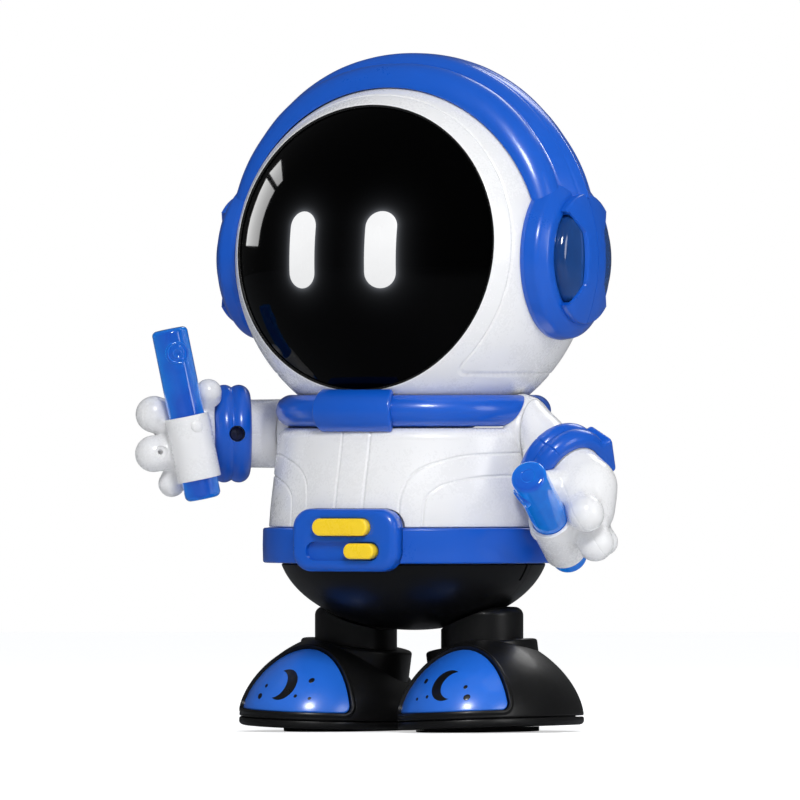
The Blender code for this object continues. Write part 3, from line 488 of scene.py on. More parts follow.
WHITE = dict(rgb=(0.83, 0.83, 0.84), rough=0.27, coat=0.30, var=0.006, peel=0.004, sss=0.04)
M_WHITE = plastic("white_abs", **WHITE)
M_BLUE = plastic("blue_abs", rgb=(0.0032, 0.096, 0.560), rough=0.32, coat=0.55, var=0.025,
                 peel=0.012, spec=0.40, wear=0.03, coat_rough=0.14)
# painted light: the toe caps' blue is a lighter copy of the blue, brightened to stand in for more
# light falling on them
M_TOE_PAINTED_LIGHT = plastic("blue_toe_abs_painted_light", rgb=(0.016, 0.158, 0.740), rough=0.32, coat=0.9, var=0.02,
                peel=0.012, coat_rough=0.19)
M_BLACK = plastic("black_abs", rgb=(0.0045, 0.0045, 0.0048), rough=0.36, coat=0.08, var=0.10,
                  peel=0.04, spec=0.38, wear=0.02)
M_SHOE = plastic("black_shoe_abs", rgb=(0.0055, 0.0055, 0.0058), rough=0.38, coat=0.08, var=0.10,
                 peel=0.05, spec=0.42, wear=0.02)
M_YELLOW = plastic("yellow_abs", rgb=(1.0, 0.68, 0.020), rough=0.30, coat=0.25, var=0.02,
                   peel=0.006)
M_RUBBER = plastic("pad_rubber", rgb=(0.012, 0.012, 0.012), rough=0.75, coat=0.0, var=0.2,
                   peel=0.5)
M_NYLON = plastic("nylon_natural", rgb=(0.70, 0.69, 0.63), rough=0.5, coat=0.0, var=0.05,
                  peel=0.1)
M_SCREW = plastic("blackened_screw", rgb=(0.006, 0.010, 0.045), rough=0.5, coat=0.0, var=0.15,
                  peel=0.1)
M_INK = plastic("ink_black", rgb=(0.006, 0.006, 0.007), rough=0.30, coat=0.4, var=0.1, peel=0.05)


def steel():
    k = new_material("plated_steel")
    colour = k.mix(k.noise(scale=700), (0.42, 0.42, 0.43), (0.62, 0.62, 0.63))
    gloss = k.mottle(scale=1600, detail=2.0, to=(0.25, 0.42))
    k.surface({"Metallic": 1.0, "Base Color": colour, "Roughness": gloss})
    return k.owner


def board():
    k = new_material("green_board")
    tracks = k.node("ShaderNodeTexBrick", {
        "Scale": 260, "Color1": (0.010, 0.150, 0.050), "Color2": (0.012, 0.180, 0.065),
        "Mortar": (0.030, 0.260, 0.090), "Vector": k.coords.outputs["Object"]})
    k.surface({"Base Color": tracks.outputs["Color"], "Roughness": 0.35})
    return k.owner


M_STEEL = steel()
M_BOARD = board()

EYE_X, EYE_Z = 13.1, 144.1
EYE_HALF_W, EYE_HALF_H = 4.75, 11.5
PITCH = math.radians(5.9)           # the visor looks up a little


def from_visor_axis(k):
    """Distance from the visor's axis, in metres."""
    arm = k.node("ShaderNodeVectorMath", {
        1: (0.0, AXIS_Y * MM, HEAD_Z * MM), 0: k.coords.outputs["Object"]}, operation="SUBTRACT")
    across = k.node("ShaderNodeVectorMath", {
        1: (0.0, -math.cos(PITCH), math.sin(PITCH)), 0: arm.outputs[0]},
        operation="CROSS_PRODUCT")
    return k.node("ShaderNodeVectorMath", {0: across.outputs[0]},
                  operation="LENGTH").outputs["Value"]


def visor_material():
    """Polished black with a satin rim, and the eyes' soft light bleeding into it."""
    k = new_material("visor_black")
    satin = k.ramp(from_visor_axis(k), span=(42.25 * MM, 42.40 * MM))
    gloss = k.mottle(scale=60, to=(0.035, 0.06))
    k.surface({"Base Color": k.mix(satin, (0.0004, 0.0004, 0.0005), (0.010, 0.010, 0.010)),
               "Roughness": k.math("ADD", gloss, k.math("MULTIPLY", satin, 0.34)),
               "Coat Weight": 0.0, "Specular IOR Level": 0.12})
    at = k.split(k.coords.outputs["Object"])
    total = None
    for sign, _ in SIDES:
        # distance outside the pill-shaped eye
        dx = k.math("SUBTRACT", at["X"], sign * EYE_X * MM)
        dz = k.math("ABSOLUTE", k.math("SUBTRACT", at["Z"], EYE_Z * MM))
        dz = k.math("MAXIMUM", k.math("SUBTRACT", dz, (EYE_HALF_H - EYE_HALF_W) * MM), 0.0)
        squares = k.math("ADD", k.math("MULTIPLY", dx, dx), k.math("MULTIPLY", dz, dz))
        away = k.math("SUBTRACT", k.math("SQRT", squares), EYE_HALF_W * MM)
        away = k.math("MAXIMUM", away, 0.0)

        def halo(fade_per_metre, strength):
            power = k.math("POWER", 2.718, k.math("MULTIPLY", away, -fade_per_metre))
            return k.math("MULTIPLY", power, strength)

        glow = k.math("ADD", halo(fade_per_metre=1500.0, strength=0.10),
                      halo(fade_per_metre=380.0, strength=0.022))
        total = glow if total is None else k.math("ADD", total, glow)
    k.surface({"Emission Color": (0.85, 0.90, 1.0), "Emission Strength": total})
    return k.owner


def eye_material():
    """A lit diffuser, a little dimmer towards its foot."""
    k = new_material("eye_diffuser")
    height = k.split(k.coords.outputs["Object"])["Z"]
    fall = k.ramp(height, span=((EYE_Z - EYE_HALF_H) * MM, (EYE_Z + 4.0) * MM), to=(0.74, 0.84))
    uneven = k.mottle(scale=90, detail=2.0, to=(-0.02, 0.02))
    k.surface({"Base Color": (0.10, 0.10, 0.10), "Roughness": 0.35,
               "Emission Color": (0.985, 0.99, 1.0),
               "Emission Strength": k.math("ADD", fall, uneven)})
    return k.owner


def clear_plastic(name, deep, rim, glow, rough, trans):
    """Tinted clear plastic: deep colour looking straight in, rim colour at its edges as painted rim
    light, and a painted glow.
    """
    k = new_material(name)
    # painted rim light: towards the edges the colour turns to the lighter rim colour
    painted_rim_light_mask = k.node("ShaderNodeLayerWeight", {"Blend": 0.42}).outputs["Facing"]
    swirl = k.mottle(scale=110, detail=4.0, rough=0.6, span=(0.35, 0.65), to=(-0.10, 0.10))
    colour = k.mix(k.math("ADD", painted_rim_light_mask, swirl, clamp=True), deep, rim)
    # painted glow: the plastic emits its own colour, though it is no lamp
    k.surface({"Base Color": colour, "Emission Color": colour, "Emission Strength": glow,
               "Roughness": k.mottle(scale=70, to=(rough * 0.8, rough * 1.2)),
               "Coat Weight": 1.0, "Coat Roughness": 0.04,
               "Transmission Weight": trans, "IOR": 1.5})
    return k.owner


def front_material():
    """The helmet's white, with the wall of the visor's opening coloured black."""
    material = plastic("white_abs_front", **WHITE)
    k = Nodes(material)
    base = k.shader.inputs["Base Color"].links[0].from_socket
    wall = k.ramp(from_visor_axis(k), span=(43.06 * MM, 43.12 * MM), to=(1.0, 0.0))
    glow = k.math("MULTIPLY", k.math("SUBTRACT", 1.0, wall), WHITE["sss"])
    k.surface({"Base Color": k.mix(wall, base, (0.010, 0.010, 0.010)),
               "Subsurface Weight": glow})
    return material


M_VISOR = visor_material()
M_FRONT = front_material()
M_EYE = eye_material()
# the rim colours are painted rim light, and glow is the strength of a painted glow
M_LENS = clear_plastic("ear_lens_blue", deep=(0.008, 0.046, 0.185), rim=(0.016, 0.085, 0.320),
                       glow=0.03, rough=0.10, trans=0.12)
M_STICK = clear_plastic("stick_blue", deep=(0.013, 0.095, 0.520), rim=(0.001, 0.330, 1.000),
                        glow=0.20, rough=0.08, trans=0.30)


# ================================================================== helmet
HEAD_R, HEAD_WALL = 53.5, 2.2
HEAD_C = np.array((0, 0, HEAD_Z))
VISOR_R, VISOR_DOME_R, VISOR_RECESS = 42.9, 59.35, 1.35
OPENING_R = VISOR_R + 0.12
VISOR_AXIS = np.array((0.0, math.cos(PITCH), math.sin(PITCH)))
VISOR_SIDE = np.array((1.0, 0.0, 0.0))
VISOR_UP = np.array((0.0, -math.sin(PITCH), math.cos(PITCH)))


def on_head(direction, radius):
    return world_points(HEAD_C + direction * np.asarray(radius, float)[..., None])


def sweep(start, end, t):
    """Unit directions along great arcs, from start at t = 0 to end at t = 1."""
    angle = np.arccos(np.clip((start * end).sum(-1), -1, 1))[..., None]
    t = t[..., None]
    whole = np.sin(angle)
    d = np.sin((1 - t) * angle) / whole * start + np.sin(t * angle) / whole * end
    return d / np.linalg.norm(d, axis=-1, keepdims=True)


def helmet_groove(direction):
    """Panel line: a ring round the visor that turns through a corner into a level line."""
    ring_deg, corner_deg = 60.6, 4.2            # from the visor's axis; corner's extra angle
    level_z, corner_r = -34.4, 3.9              # from the head's centre
    half_width, depth = 0.46, 0.34
    angle = np.degrees(np.arccos(np.clip(direction @ VISOR_AXIS, -1, 1)))
    z = direction[..., 2] * HEAD_R
    off_middle = np.abs(direction[..., 0]) * HEAD_R > 8
    ring = groove((angle - ring_deg) * math.radians(1) * HEAD_R, half_width, depth)
    ring = np.where(z > level_z + 3.0, ring, 0.0)
    level = np.where(angle > 65.5, groove(z - level_z, half_width, depth), 0.0)
    u = (angle - (ring_deg + corner_deg)) * math.radians(1) * HEAD_R
    v = z - (level_z + corner_r)
    corner = np.where((u <= 0.35) & (v <= 0.35) & off_middle,
                      groove(np.hypot(u, v) - corner_r, half_width, depth), 0.0)
    ring = np.where((u <= 0) & (v <= 0) & off_middle, 0.0, ring)
    return np.maximum.reduce([ring, level * (u > 0), corner])


HELMET_COLS = steps(520)
TURN_ROUND = np.linspace(0, 2 * math.pi, HELMET_COLS, endpoint=False)
# the seam between front and rear lies on the middle plane
SEAM = np.stack([np.cos(TURN_ROUND), np.full(HELMET_COLS, 0.0), np.sin(TURN_ROUND)], -1)


def opening_edge(radius):
    """Directions to the opening's edge on a sphere; its wall runs along the visor's axis."""
    angle = math.asin(OPENING_R / radius)
    round_axis = (np.cos(TURN_ROUND)[:, None] * VISOR_SIDE
                  + np.sin(TURN_ROUND)[:, None] * VISOR_UP)
    return math.cos(angle) * VISOR_AXIS + math.sin(angle) * round_axis


def helmet_front():
    rim = opening_edge(HEAD_R)
    t = edged(steps(110), 0.7, 38.0)[None, :]
    d = sweep(rim[:, None, :], SEAM[:, None, :], t)
    arc = np.arccos(np.clip((rim * SEAM).sum(-1), -1, 1))[:, None] * HEAD_R
    drop = edge_drop(t * arc, 0.75) + edge_drop((1 - t) * arc - 0.06, 0.28)
    inner = sweep(opening_edge(HEAD_R - HEAD_WALL)[:, None, :], SEAM[:, None, :], t)
    return shell("helmet_front", on_head(d, HEAD_R - drop - helmet_groove(d)),
                 on_head(inner, HEAD_R - HEAD_WALL), M_FRONT, wrap=True, sharp=50)


def helmet_rear():
    pole = np.array((0.0, -1.0, 0.0))
    arc = 84.0
    t = np.minimum(edged(steps(150), 0.35, arc)[:-1], 0.9995)[None, :]
    d = sweep(SEAM[:, None, :], pole, t)
    drop = edge_drop(t * arc - 0.06, 0.28)
    inside = HEAD_R - HEAD_WALL
    return cap_shell("helmet_rear", on_head(d, HEAD_R - drop - helmet_groove(d)),
                     on_head(d, inside), on_head(pole[None, :], HEAD_R),
                     on_head(pole[None, :], inside), M_WHITE, 50)


for build in (helmet_front, helmet_rear):
    helmet = build()
    neck_hole = turned_tool([(0, 0), (10, 0), (10, 20), (0, 20)], upright_at(0, 0, 80), 64)
    cut(helmet, neck_hole, sharp=50, solver="EXACT")
    put(helmet, "head", "white_plastic", helmet.name + "_shell")

# ================================================================== visor and eyes
# distance of the visor dome's centre from the head's centre, along the visor's axis
DOME_AT = (math.sqrt(HEAD_R ** 2 - VISOR_R ** 2) - VISOR_RECESS
           - math.sqrt(VISOR_DOME_R ** 2 - VISOR_R ** 2))
DOME_C = np.array((0, DOME_AT * VISOR_AXIS[1], HEAD_Z + DOME_AT * VISOR_AXIS[2]))


def visor_profile():
    rim, thick, edge, n = VISOR_R - 0.02, 1.5, 0.3, 40
    radii = [(rim - edge) * i / n for i in range(n + 1)]
    points = [(r, DOME_AT + math.sqrt(VISOR_DOME_R ** 2 - r * r)) for r in radii]
    edge_w = points[-1][1]
    for i in range(1, 6):
        q = math.radians(90 * i / 5)
        points.append((rim - edge + edge * math.sin(q),
                       edge_w - edge * 0.9 * (1 - math.cos(q)) - 0.25 * math.sin(q)))
    points.append((rim, points[-1][1] - thick))
    for r in radii[::-1]:
        points.append((r, DOME_AT - thick - 0.3 + math.sqrt(VISOR_DOME_R ** 2 - r * r)))
    return points


visor = lathe("visor_dome", visor_profile(), frame_of(HEAD_C, VISOR_AXIS, (1, 0, 0)), M_VISOR,
              256, sharp=40)
put(visor, "head", "visor_plastic", "visor")


def pill_outline(w, h, n=20, side_steps=24):
    """Half width w, half height h, with round ends."""
    out = []
    for way in (1, -1):
        start = 0 if way > 0 else math.pi
        for i in range(n + 1):
            a = start + math.pi * i / n
            out.append((w * math.cos(a), way * (h - w) + w * math.sin(a)))
        for k in range(1, side_steps):
            out.append((-way * w, way * (h - w) * (1 - 2 * k / side_steps)))
    return np.array(out)


def visor_forward(x, z):
    """Forward distance of the visor's surface at (x, z)."""
    flat = VISOR_DOME_R ** 2 - (x - DOME_C[0]) ** 2 - (z - DOME_C[2]) ** 2
    return DOME_C[1] + np.sqrt(np.maximum(flat, 0))


# how far each ring lies inside the eye's outline, and its lift off the visor
EYE_RINGS = [(0, -1.2), (0, -0.02), (0.05, 0.05), (0.18, 0.09), (EYE_HALF_W * 0.2, 0.10),
             (EYE_HALF_W * 0.5, 0.11), (EYE_HALF_W * 0.8, 0.12), (EYE_HALF_W - 0.02, 0.12)]
for sign, side in SIDES:
    rings = []
    for inset, lift in EYE_RINGS:
        outline = pill_outline(EYE_HALF_W - inset, EYE_HALF_H - inset)
        x, z = outline[:, 0] + sign * EYE_X, outline[:, 1] + EYE_Z
        rings.append(world(x, visor_forward(x, z) + lift, z))
    put(loft("eye_light_" + side, rings, M_EYE, 60), "head", "eye_lamp", "eye_" + side)

# ================================================================== headband
# degrees above level, and the band's outer radius there
BAND_STATIONS = [(17.0, 57.6), (22.0, 57.8), (26.0, 58.1), (32.0, 58.4),
                 (40.0, 58.6), (47.0, 59.1), (56.0, 59.4), (90.0, 58.8)]
BAND_ANGLES, BAND_RADII = np.array(BAND_STATIONS).T
BAND_ANGLES = np.radians(BAND_ANGLES)


def band_half(name, way):
    """Half the arch; its section changes from a crown and a fine step to a rounded edge."""
    m = steps(18)
    rings = []
    for t in np.radians(np.linspace(17.2, 162.8, steps(280))):
        lateral = min(t, math.pi - t)
        degrees = math.degrees(lateral)
        edge_r = float(np.interp(lateral, BAND_ANGLES, BAND_RADII))
        power = min(3.5, 1.22 + 2 * max(0.0, (degrees - 20) / 46) ** 2.2)
        step = 0.62 * float(smoothstep((degrees - 19.9) / 1.2))
        # points of the section are (radius, forward)
        section = [(53.85, 0.03), (53.25, 8.0), (51.3, 16.6)]
        for q in np.linspace(0.0, math.pi / 2, m):
            section.append((51.5 + (edge_r - 0.16 - 51.5) * math.sin(q) ** (2 / 1.9),
                            9.35 + (16.75 - 9.35) * math.cos(q) ** (2 / 1.9)))
        section += [(edge_r - 0.20 - 0.55 * step, 9.16), (edge_r - 0.18 - step, 8.90),
                    (edge_r - 0.16 - step, 8.62), (edge_r - 0.14 - 0.5 * step, 8.42),
                    (edge_r - 0.12, 8.30)]
        for f in np.concatenate([[8.12, 7.7], np.linspace(7.2, 0.35, m + 6)]):
            r = 61.9 - (61.9 - edge_r) * (f / 8.2) ** power
            section.append((r - 0.07 * max(0.0, 1 - ((f - 3.4) / 0.45) ** 2), f))
        section += [(61.86, 0.14), (61.72, 0.03)]
        r, f = np.array(section).T
        rings.append(world(r * math.cos(t), way * f, HEAD_Z + r * math.sin(t)))
    return loft(name, rings, M_BLUE, 40)


for end, way in (("front", 1), ("rear", -1)):
    put(band_half("headband_%s_arch" % end, way), "head", "blue_plastic", "headband_" + end)

# ================================================================== ears
# profiles are (radius, distance to the side of the head's centre[, corner radius])
CUSHION = [(16.6, 51.6, 0), (20.0, 50.0, 0), (24.0, 47.9, 0.2), (24.3, 49.6, 2.5),
           (23.7, 53.3, 3.2), (20.6, 56.0, 3.0), (18.3, 56.35, 1.0), (16.9, 56.0, 0.6),
           (16.6, 54.5, 0)]
CAP_FACE = [(0, 62.15), (2, 62.13), (4.5, 62.0), (6.6, 61.8), (9.0, 61.35), (11.5, 60.75),
            (14.0, 60.1), (16.2, 59.45), (18.0, 58.85)]
CAP_RIM = [(18.0, 58.85, 0), (19.45, 58.2, 0.7), (19.4, 55.9, 0.1), (17.35, 55.9, 0)]
CAP_BACK = [(17.25, 58.0), (16.3, 58.6), (13.6, 59.3), (9.0, 60.25), (4.0, 60.85), (0, 61.0)]
LENS = [(0, 60.6), (4, 60.54), (8, 60.25), (11.5, 59.8), (14.0, 59.3), (15.2, 58.85),
        (16.0, 58.1), (16.45, 57.2), (16.55, 56.0), (16.55, 53.0), (14, 52.6), (0, 52.6)]


def ear_window(sign, way):
    """Tool for the opening in front of (way 1) or behind the bridge; it flares outwards."""
    rings = []
    for x, flare in ((50.0, 0.0), (58.6, 0.0), (60.2, 0.35), (64.0, 1.9)):
        near, near_h = 6.5 - flare, 7.7 + flare * 0.3
        far, far_h = 12.2 - flare * 0.4, 14.0 + flare
        outline = fillet([(near, -near_h, 0.7), (far, -far_h, 1.0), (27.0, -14.7 - flare, 0),
                          (27.0, 14.7 + flare, 0), (far, far_h, 1.0), (near, near_h, 0.7)], 4)
        f, z = np.array(outline).T
        rings.append(world(sign * x, way * f, HEAD_Z + z))
    return lofted_tool(rings)


def ear_hairline(sign):
    """Tool for the fine upright line down the middle of the cap's face."""
    skin_r = [r for r, _ in CAP_FACE] + [19.6]
    skin_x = [x for _, x in CAP_FACE] + [58.2]
    rings = []
    for z in np.linspace(-19.8, 19.8, 45):
        x = float(np.interp(abs(z), skin_r, skin_x)) - 0.20
        rings.append(world(sign * np.array((x, x, 66.0, 66.0)), (-0.10, 0.10, 0.10, -0.10),
                           HEAD_Z + z))
    return lofted_tool(rings)


for sign, side in SIDES:
    at = frame_of(HEAD_C, (sign, 0, 0))
    cushion = lathe("ear_cushion_" + side, fillet(CUSHION, 8), at, M_BLUE, 192, sharp=50)
    put(cushion, "head", "blue_plastic", "ear_ring_" + side)
    profile = CAP_FACE + fillet(CAP_RIM, 6, closed=False)[1:] + CAP_BACK
    cap = lathe("ear_bridge_" + side, profile, at, M_BLUE, 192, sharp=30)
    cut(cap, ear_window(sign, 1), ear_window(sign, -1), bevel=0.26, segs=2, angle=28, sharp=45,
        solver="EXACT")
    cut(cap, ear_hairline(sign), sharp=45, solver="EXACT")
    put(cap, "head", "blue_plastic", "ear_cap_" + side)
    put(lathe("ear_dome_" + side, LENS, at, M_LENS, 160, sharp=50),
        "head", "ear_lens", "ear_lens_" + side)

# ================================================================== neck
NECK_Z, NECK_HALF_W, NECK_HALF_D = 96.1, 37.0, 34.6
NECK_TUBE_R, CLASP_R = 4.75, 6.9
SEAT_R = HEAD_R + 0.45              # nothing of the neck comes nearer the head than this


def seat_limit(start, direction, full):
    """How far a tube may reach before it meets the head's clearance."""
    rel = start - HEAD_C
    b = (rel * direction).sum(-1)
    square = b * b - ((rel * rel).sum(-1) - SEAT_R ** 2)
    hit = np.where(square > 0, -b - np.sqrt(np.maximum(square, 0)), 1e9)
    hit = np.where(hit < 0, 1e9, hit)
    return np.minimum(full, hit)


def neck_points(turn, roll, radius):
    """Points on a tube along the oval ring: turn goes round the neck, roll round the tube."""
    centre = np.stack([NECK_HALF_W * np.cos(turn), NECK_HALF_D * np.sin(turn),
                       np.full_like(turn, NECK_Z)], -1)
    out = np.stack([NECK_HALF_D * np.cos(turn), NECK_HALF_W * np.sin(turn),
                    np.zeros_like(turn)], -1)
    out /= np.linalg.norm(out, axis=-1, keepdims=True)
    d = out * np.cos(roll)[..., None] + np.array((0, 0, 1.0)) * np.sin(roll)[..., None]
    return world_points(centre + d * seat_limit(centre, d, radius)[..., None])


SHOULDER_AT = {sign: frame_of((0, 0, SHOULDER_Z), (sign, 0, 0)) for sign, _ in SIDES}
# (radius, distance to the side) of the room left for each shoulder fairing
RING_ROOM = [(0, 33.9), (12.35, 33.9), (12.2, 36.9), (11.8, 38.3), (11.2, 41.6), (11.2, 48),
             (0, 48)]


def neck_ring():
    rows, cols = steps(420), steps(96)
    turn, roll = np.meshgrid(np.linspace(0, 2 * math.pi, rows, endpoint=False),
                             np.linspace(0, 2 * math.pi, cols, endpoint=False), indexing="ij")
    ob = make("neck_ring", neck_points(turn, roll, NECK_TUBE_R),
              grid_faces(rows, cols, True, True), (), M_BLUE, 40)
    cut(ob, *(turned_tool(RING_ROOM, SHOULDER_AT[sign], 96) for sign, _ in SIDES))
    return ob


def neck_clasp():
    """A curved plate over the ring's front; angles are in degrees."""
    middle, half, low, high = 91.2, 17.8, -68, 108
    turn, roll = np.meshgrid(
        np.radians(middle + half * np.linspace(-1, 1, steps(120))),
        np.radians(np.linspace(low, high, steps(80))), indexing="ij")
    from_end = (half - np.abs(np.degrees(turn) - middle)) * math.radians(1) * 41.0
    from_low = (np.degrees(roll) - low) * math.radians(1) * CLASP_R
    from_high = (high - np.degrees(roll)) * math.radians(1) * CLASP_R
    side = edge_drop(from_low, 0.5) + edge_drop(from_high, 0.5)
    outer = neck_points(turn, roll, CLASP_R - edge_drop(from_end, 0.75) - side)
    return shell("neck_clasp", outer, neck_points(turn, roll, NECK_TUBE_R + 0.15), M_BLUE,
                 sharp=45)


put(neck_ring(), "body", "blue_plastic", "collar_ring")
put(neck_clasp(), "body", "blue_plastic", "collar_clasp")

# ================================================================== torso
# height, half width, half depth
TRUNK = [(61.3, 43.35, 43.3), (67.0, 43.0, 42.6), (75.3, 42.3, 40.8), (83.0, 41.9, 38.8),
         (88.0, 41.45, 37.75)]
TRUNK_Z, TRUNK_W, TRUNK_D = np.array(TRUNK).T
TRUNK_WALL = 2.2
NECK_HOLE_R = 20.2
SEAM_R = 41.5                       # turns an angle round the trunk into a length


def trunk_size(z):
    """Half width and half depth of the trunk."""
    return spline(TRUNK_Z, TRUNK_W, z), spline(TRUNK_Z, TRUNK_D, z)


def torso_rows():
    """(height, half width, half depth) from the belt over the shoulder edge to the neck hole."""
    rows = [(61.3, 43.05, 43.0), (61.42, 43.25, 43.2)]
    rows += [(z, *map(float, trunk_size(z))) for z in np.linspace(61.62, 87.4, steps(150))]
    _, w, d = rows[-1]
    for q in np.radians(np.linspace(0, 90, 14)[1:]):
        rows.append((87.4 + 3.6 * math.sin(q), w - 3.9 * (1 - math.cos(q)),
                     d - 3.6 * (1 - math.cos(q))))
    _, w, d = rows[-1]
    for t in np.linspace(0, 1, 10)[1:]:
        rows.append((91.0, w + (NECK_HOLE_R - w) * t, d + (NECK_HOLE_R - d) * t))
    return np.array(rows)


def angle_on_trunk(across, z):
    """Angle from the left seam of a point seen from the camera's quarter; across is rightwards."""
    w, d = map(float, trunk_size(z))
    wide, deep = w * math.cos(VIEW), d * math.sin(VIEW)
    reach = max(-1.0, min(1.0, across / math.hypot(wide, deep)))
    return math.acos(reach) - math.atan2(deep, wide)


# panel lines as (across, height) seen from the camera's quarter: an arch round the buckle
# and a lower line beside it, both running level to the side seam
UPPER_LINE = [(-4.4, 65.0), (-4.35, 67.6), (-3.6, 71.4), (-1.35, 76.0), (3.3, 79.4),
              (10.8, 81.7), (16.7, 82.8), (24.0, 83.2), (30.0, 83.4)]
LOWER_LINE = [(2.6, 61.0), (2.9, 66.0), (3.3, 68.6), (4.4, 70.9), (8.5, 73.8), (15.5, 75.6),
              (22.5, 76.5), (30.0, 76.8), (34.0, 76.9)]


def surface_line(points, seam_z):
    """(length from the seam, height) along a panel line, which ends at the seam."""
    out = [(angle_on_trunk(x, z), z) for x, z in smooth_line(points)]
    out += [(0.2, seam_z), (0.0, seam_z)]
    return [(angle * SEAM_R, z) for angle, z in out if angle >= -1e-6]


PANEL_LINES = (surface_line(UPPER_LINE, 83.45), surface_line(LOWER_LINE, 76.95))


def torso_dent(angle, z, x, front):
    """Depth of the moulded lines, which are alike on all four quarters."""
    from_seam = np.abs(np.where(angle > math.pi / 2, math.pi - angle, angle)) * SEAM_R
    depth = np.zeros_like(z)
    for line in PANEL_LINES:
        depth = np.maximum(depth, groove(line_distance(from_seam, z, line), 0.55, 0.30))
    if front:
        for line_x in (4.7, -4.7):
            upright = groove(np.abs(x - line_x), 0.60, 0.34) * (z < 91.5)
            depth = np.maximum(depth, upright)
    return depth


# (radius, distance to the side) of the shoulder fairing and of the bore for the arm's axle
FAIRING = [(0, 36.2), (11.9, 36.2), (11.95, 37.0), (11.6, 38.2), (11.15, 39.6), (10.85, 40.5),
           (10.6, 40.82), (10.25, 40.95), (0, 40.95)]
ARM_BORE = [(0, 34.1), (8.3, 34.1), (8.3, 36.95), (5.5, 36.95), (5.5, 50), (0, 50)]
SEAM_GAP = 0.04                     # each half stops this far short of the middle plane


def torso_half(name, front):
    way = 1.0 if front else -1.0
    rows = torso_rows()
    t = edged(steps(620 if front else 420), 0.3, math.pi * 42.0)
    angle, z = np.meshgrid(math.pi * t, rows[:, 0], indexing="ij")
    w = np.broadcast_to(rows[:, 1], angle.shape)
    d = np.broadcast_to(rows[:, 2], angle.shape)
    dent = torso_dent(angle, z, w * np.cos(angle), front) * np.clip((w - 34.0) / 2.0, 0, 1)
    seam = edge_drop(np.minimum(angle, math.pi - angle) * w - 0.05, 0.30)
    dent = dent + seam * np.clip((w - 30) / 4, 0, 1)
    # dents go inwards on the sides and downwards on the top
    top = np.clip((z - 88.5) / 2.4, 0, 1)
    inward = dent * (1 - top)
    outer = world((w - inward) * np.cos(angle),
                  way * ((d - inward) * np.sin(angle) + SEAM_GAP), z - dent * top)
    inner_w = np.maximum(w - TRUNK_WALL, NECK_HOLE_R)
    inner_d = np.maximum(d - TRUNK_WALL, NECK_HOLE_R)
    inner = world(inner_w * np.cos(angle), way * (inner_d * np.sin(angle) + SEAM_GAP),
                  np.where(z > 88.3, np.minimum(z, 88.8), z))
    ob = shell(name, outer, inner, M_WHITE, sharp=40)
    for sign, _ in SIDES:
        cut(ob, turned_tool(FAIRING, SHOULDER_AT[sign], 120), how="UNION")
        cut(ob, turned_tool(ARM_BORE, SHOULDER_AT[sign], 48))
    half_space = [(-80, 40), (80, 40), (80, 120), (-80, 120)]
    cut(ob, front_prism(half_space, 0.0, (way * SEAM_GAP, way * 80.0)), how="INTERSECT")
    headroom = [(0, -54.0)]
    headroom += [(54.0 * math.sin(q), -54.0 * math.cos(q))
                 for q in map(math.radians, np.linspace(2, 90, 40))]
    cut(ob, turned_tool(headroom + [(0, 0)], upright_at(0, 0, HEAD_Z), 96))
    return ob


BUCKLE_Z, BUCKLE_HALF_W, BUCKLE_HALF_H, BUCKLE_CORNER = 57.5, 17.5, 9.4, 5.9
DOOR_Z, DOOR_HALF_W, DOOR_HALF_H, DOOR_CORNER = 74.0, 17.0, 10.5, 2.0


def buckle_room(from_forward):
    outline = box_outline(BUCKLE_HALF_W + 0.1, BUCKLE_HALF_H + 0.1, BUCKLE_CORNER + 0.1)
    return front_prism(outline, BUCKLE_Z, (from_forward, 60.0))


torso = torso_half("torso_front", True)
cut(torso, buckle_room(38.0))
put(torso, "body", "white_plastic", "torso_front_shell")
torso = torso_half("torso_rear", False)
door_hole = box_outline(DOOR_HALF_W + 0.15, DOOR_HALF_H + 0.15, DOOR_CORNER + 0.1)
cut(torso, front_prism(door_hole, DOOR_Z, (-60.0, -20.0)))
put(torso, "body", "white_plastic", "torso_rear_shell")


def battery_door():
    """A door flush with the back: an oval recess with ribs, and a hollow inside a ring groove."""
    u, v = np.meshgrid(
        DOOR_HALF_W * np.sin(np.linspace(-1, 1, steps(200)) * math.pi / 2),
        DOOR_HALF_H * np.sin(np.linspace(-1, 1, steps(130)) * math.pi / 2), indexing="ij")
    w, d = trunk_size(DOOR_Z + v)
    back = d * np.sqrt(np.maximum(1 - (u / w) ** 2, 0))
    past_u = np.abs(u) - (DOOR_HALF_W - DOOR_CORNER)
    past_v = np.abs(v) - (DOOR_HALF_H - DOOR_CORNER)
    inside = DOOR_CORNER - (np.hypot(np.maximum(past_u, 0), np.maximum(past_v, 0))
                            + np.minimum(np.maximum(past_u, past_v), 0))
    recess_v, hollow_v = 5.6, -6.2
    oval = np.hypot(u / 7.0, (v - recess_v) / 2.6)
    from_hollow = np.hypot(u, v - hollow_v)
    dent = edge_drop(inside, 0.6) + 0.9 * smoothstep((1.0 - oval) / 0.35)
    dent = dent + groove(from_hollow - 2.6, 0.35, 0.35)
    dent = dent + 0.8 * smoothstep((1.0 - from_hollow / 1.5) / 0.3)
    for k in (-1.5, 0, 1.5):
        rib = smoothstep(1 - np.abs(v - recess_v - k * 0.9) / 0.35)
        dent = dent - 0.45 * rib * (np.abs(u) < 4.0) * (oval < 0.8)
    # the corners are pulled in so that the outline is round
    corner = (past_u > 0) & (past_v > 0)
    pull = np.minimum(DOOR_CORNER / np.maximum(np.hypot(past_u, past_v), 1e-9), 1.0)
    x = np.where(corner, np.sign(u) * (DOOR_HALF_W - DOOR_CORNER + past_u * pull), u)
    z = DOOR_Z + np.where(corner, np.sign(v) * (DOOR_HALF_H - DOOR_CORNER + past_v * pull), v)
    return shell("battery_door", world(x, -(back - dent + 0.08), z),
                 world(x, -(back - 2.3), z), M_WHITE, sharp=40)


put(battery_door(), "body", "white_plastic", "battery_cover")

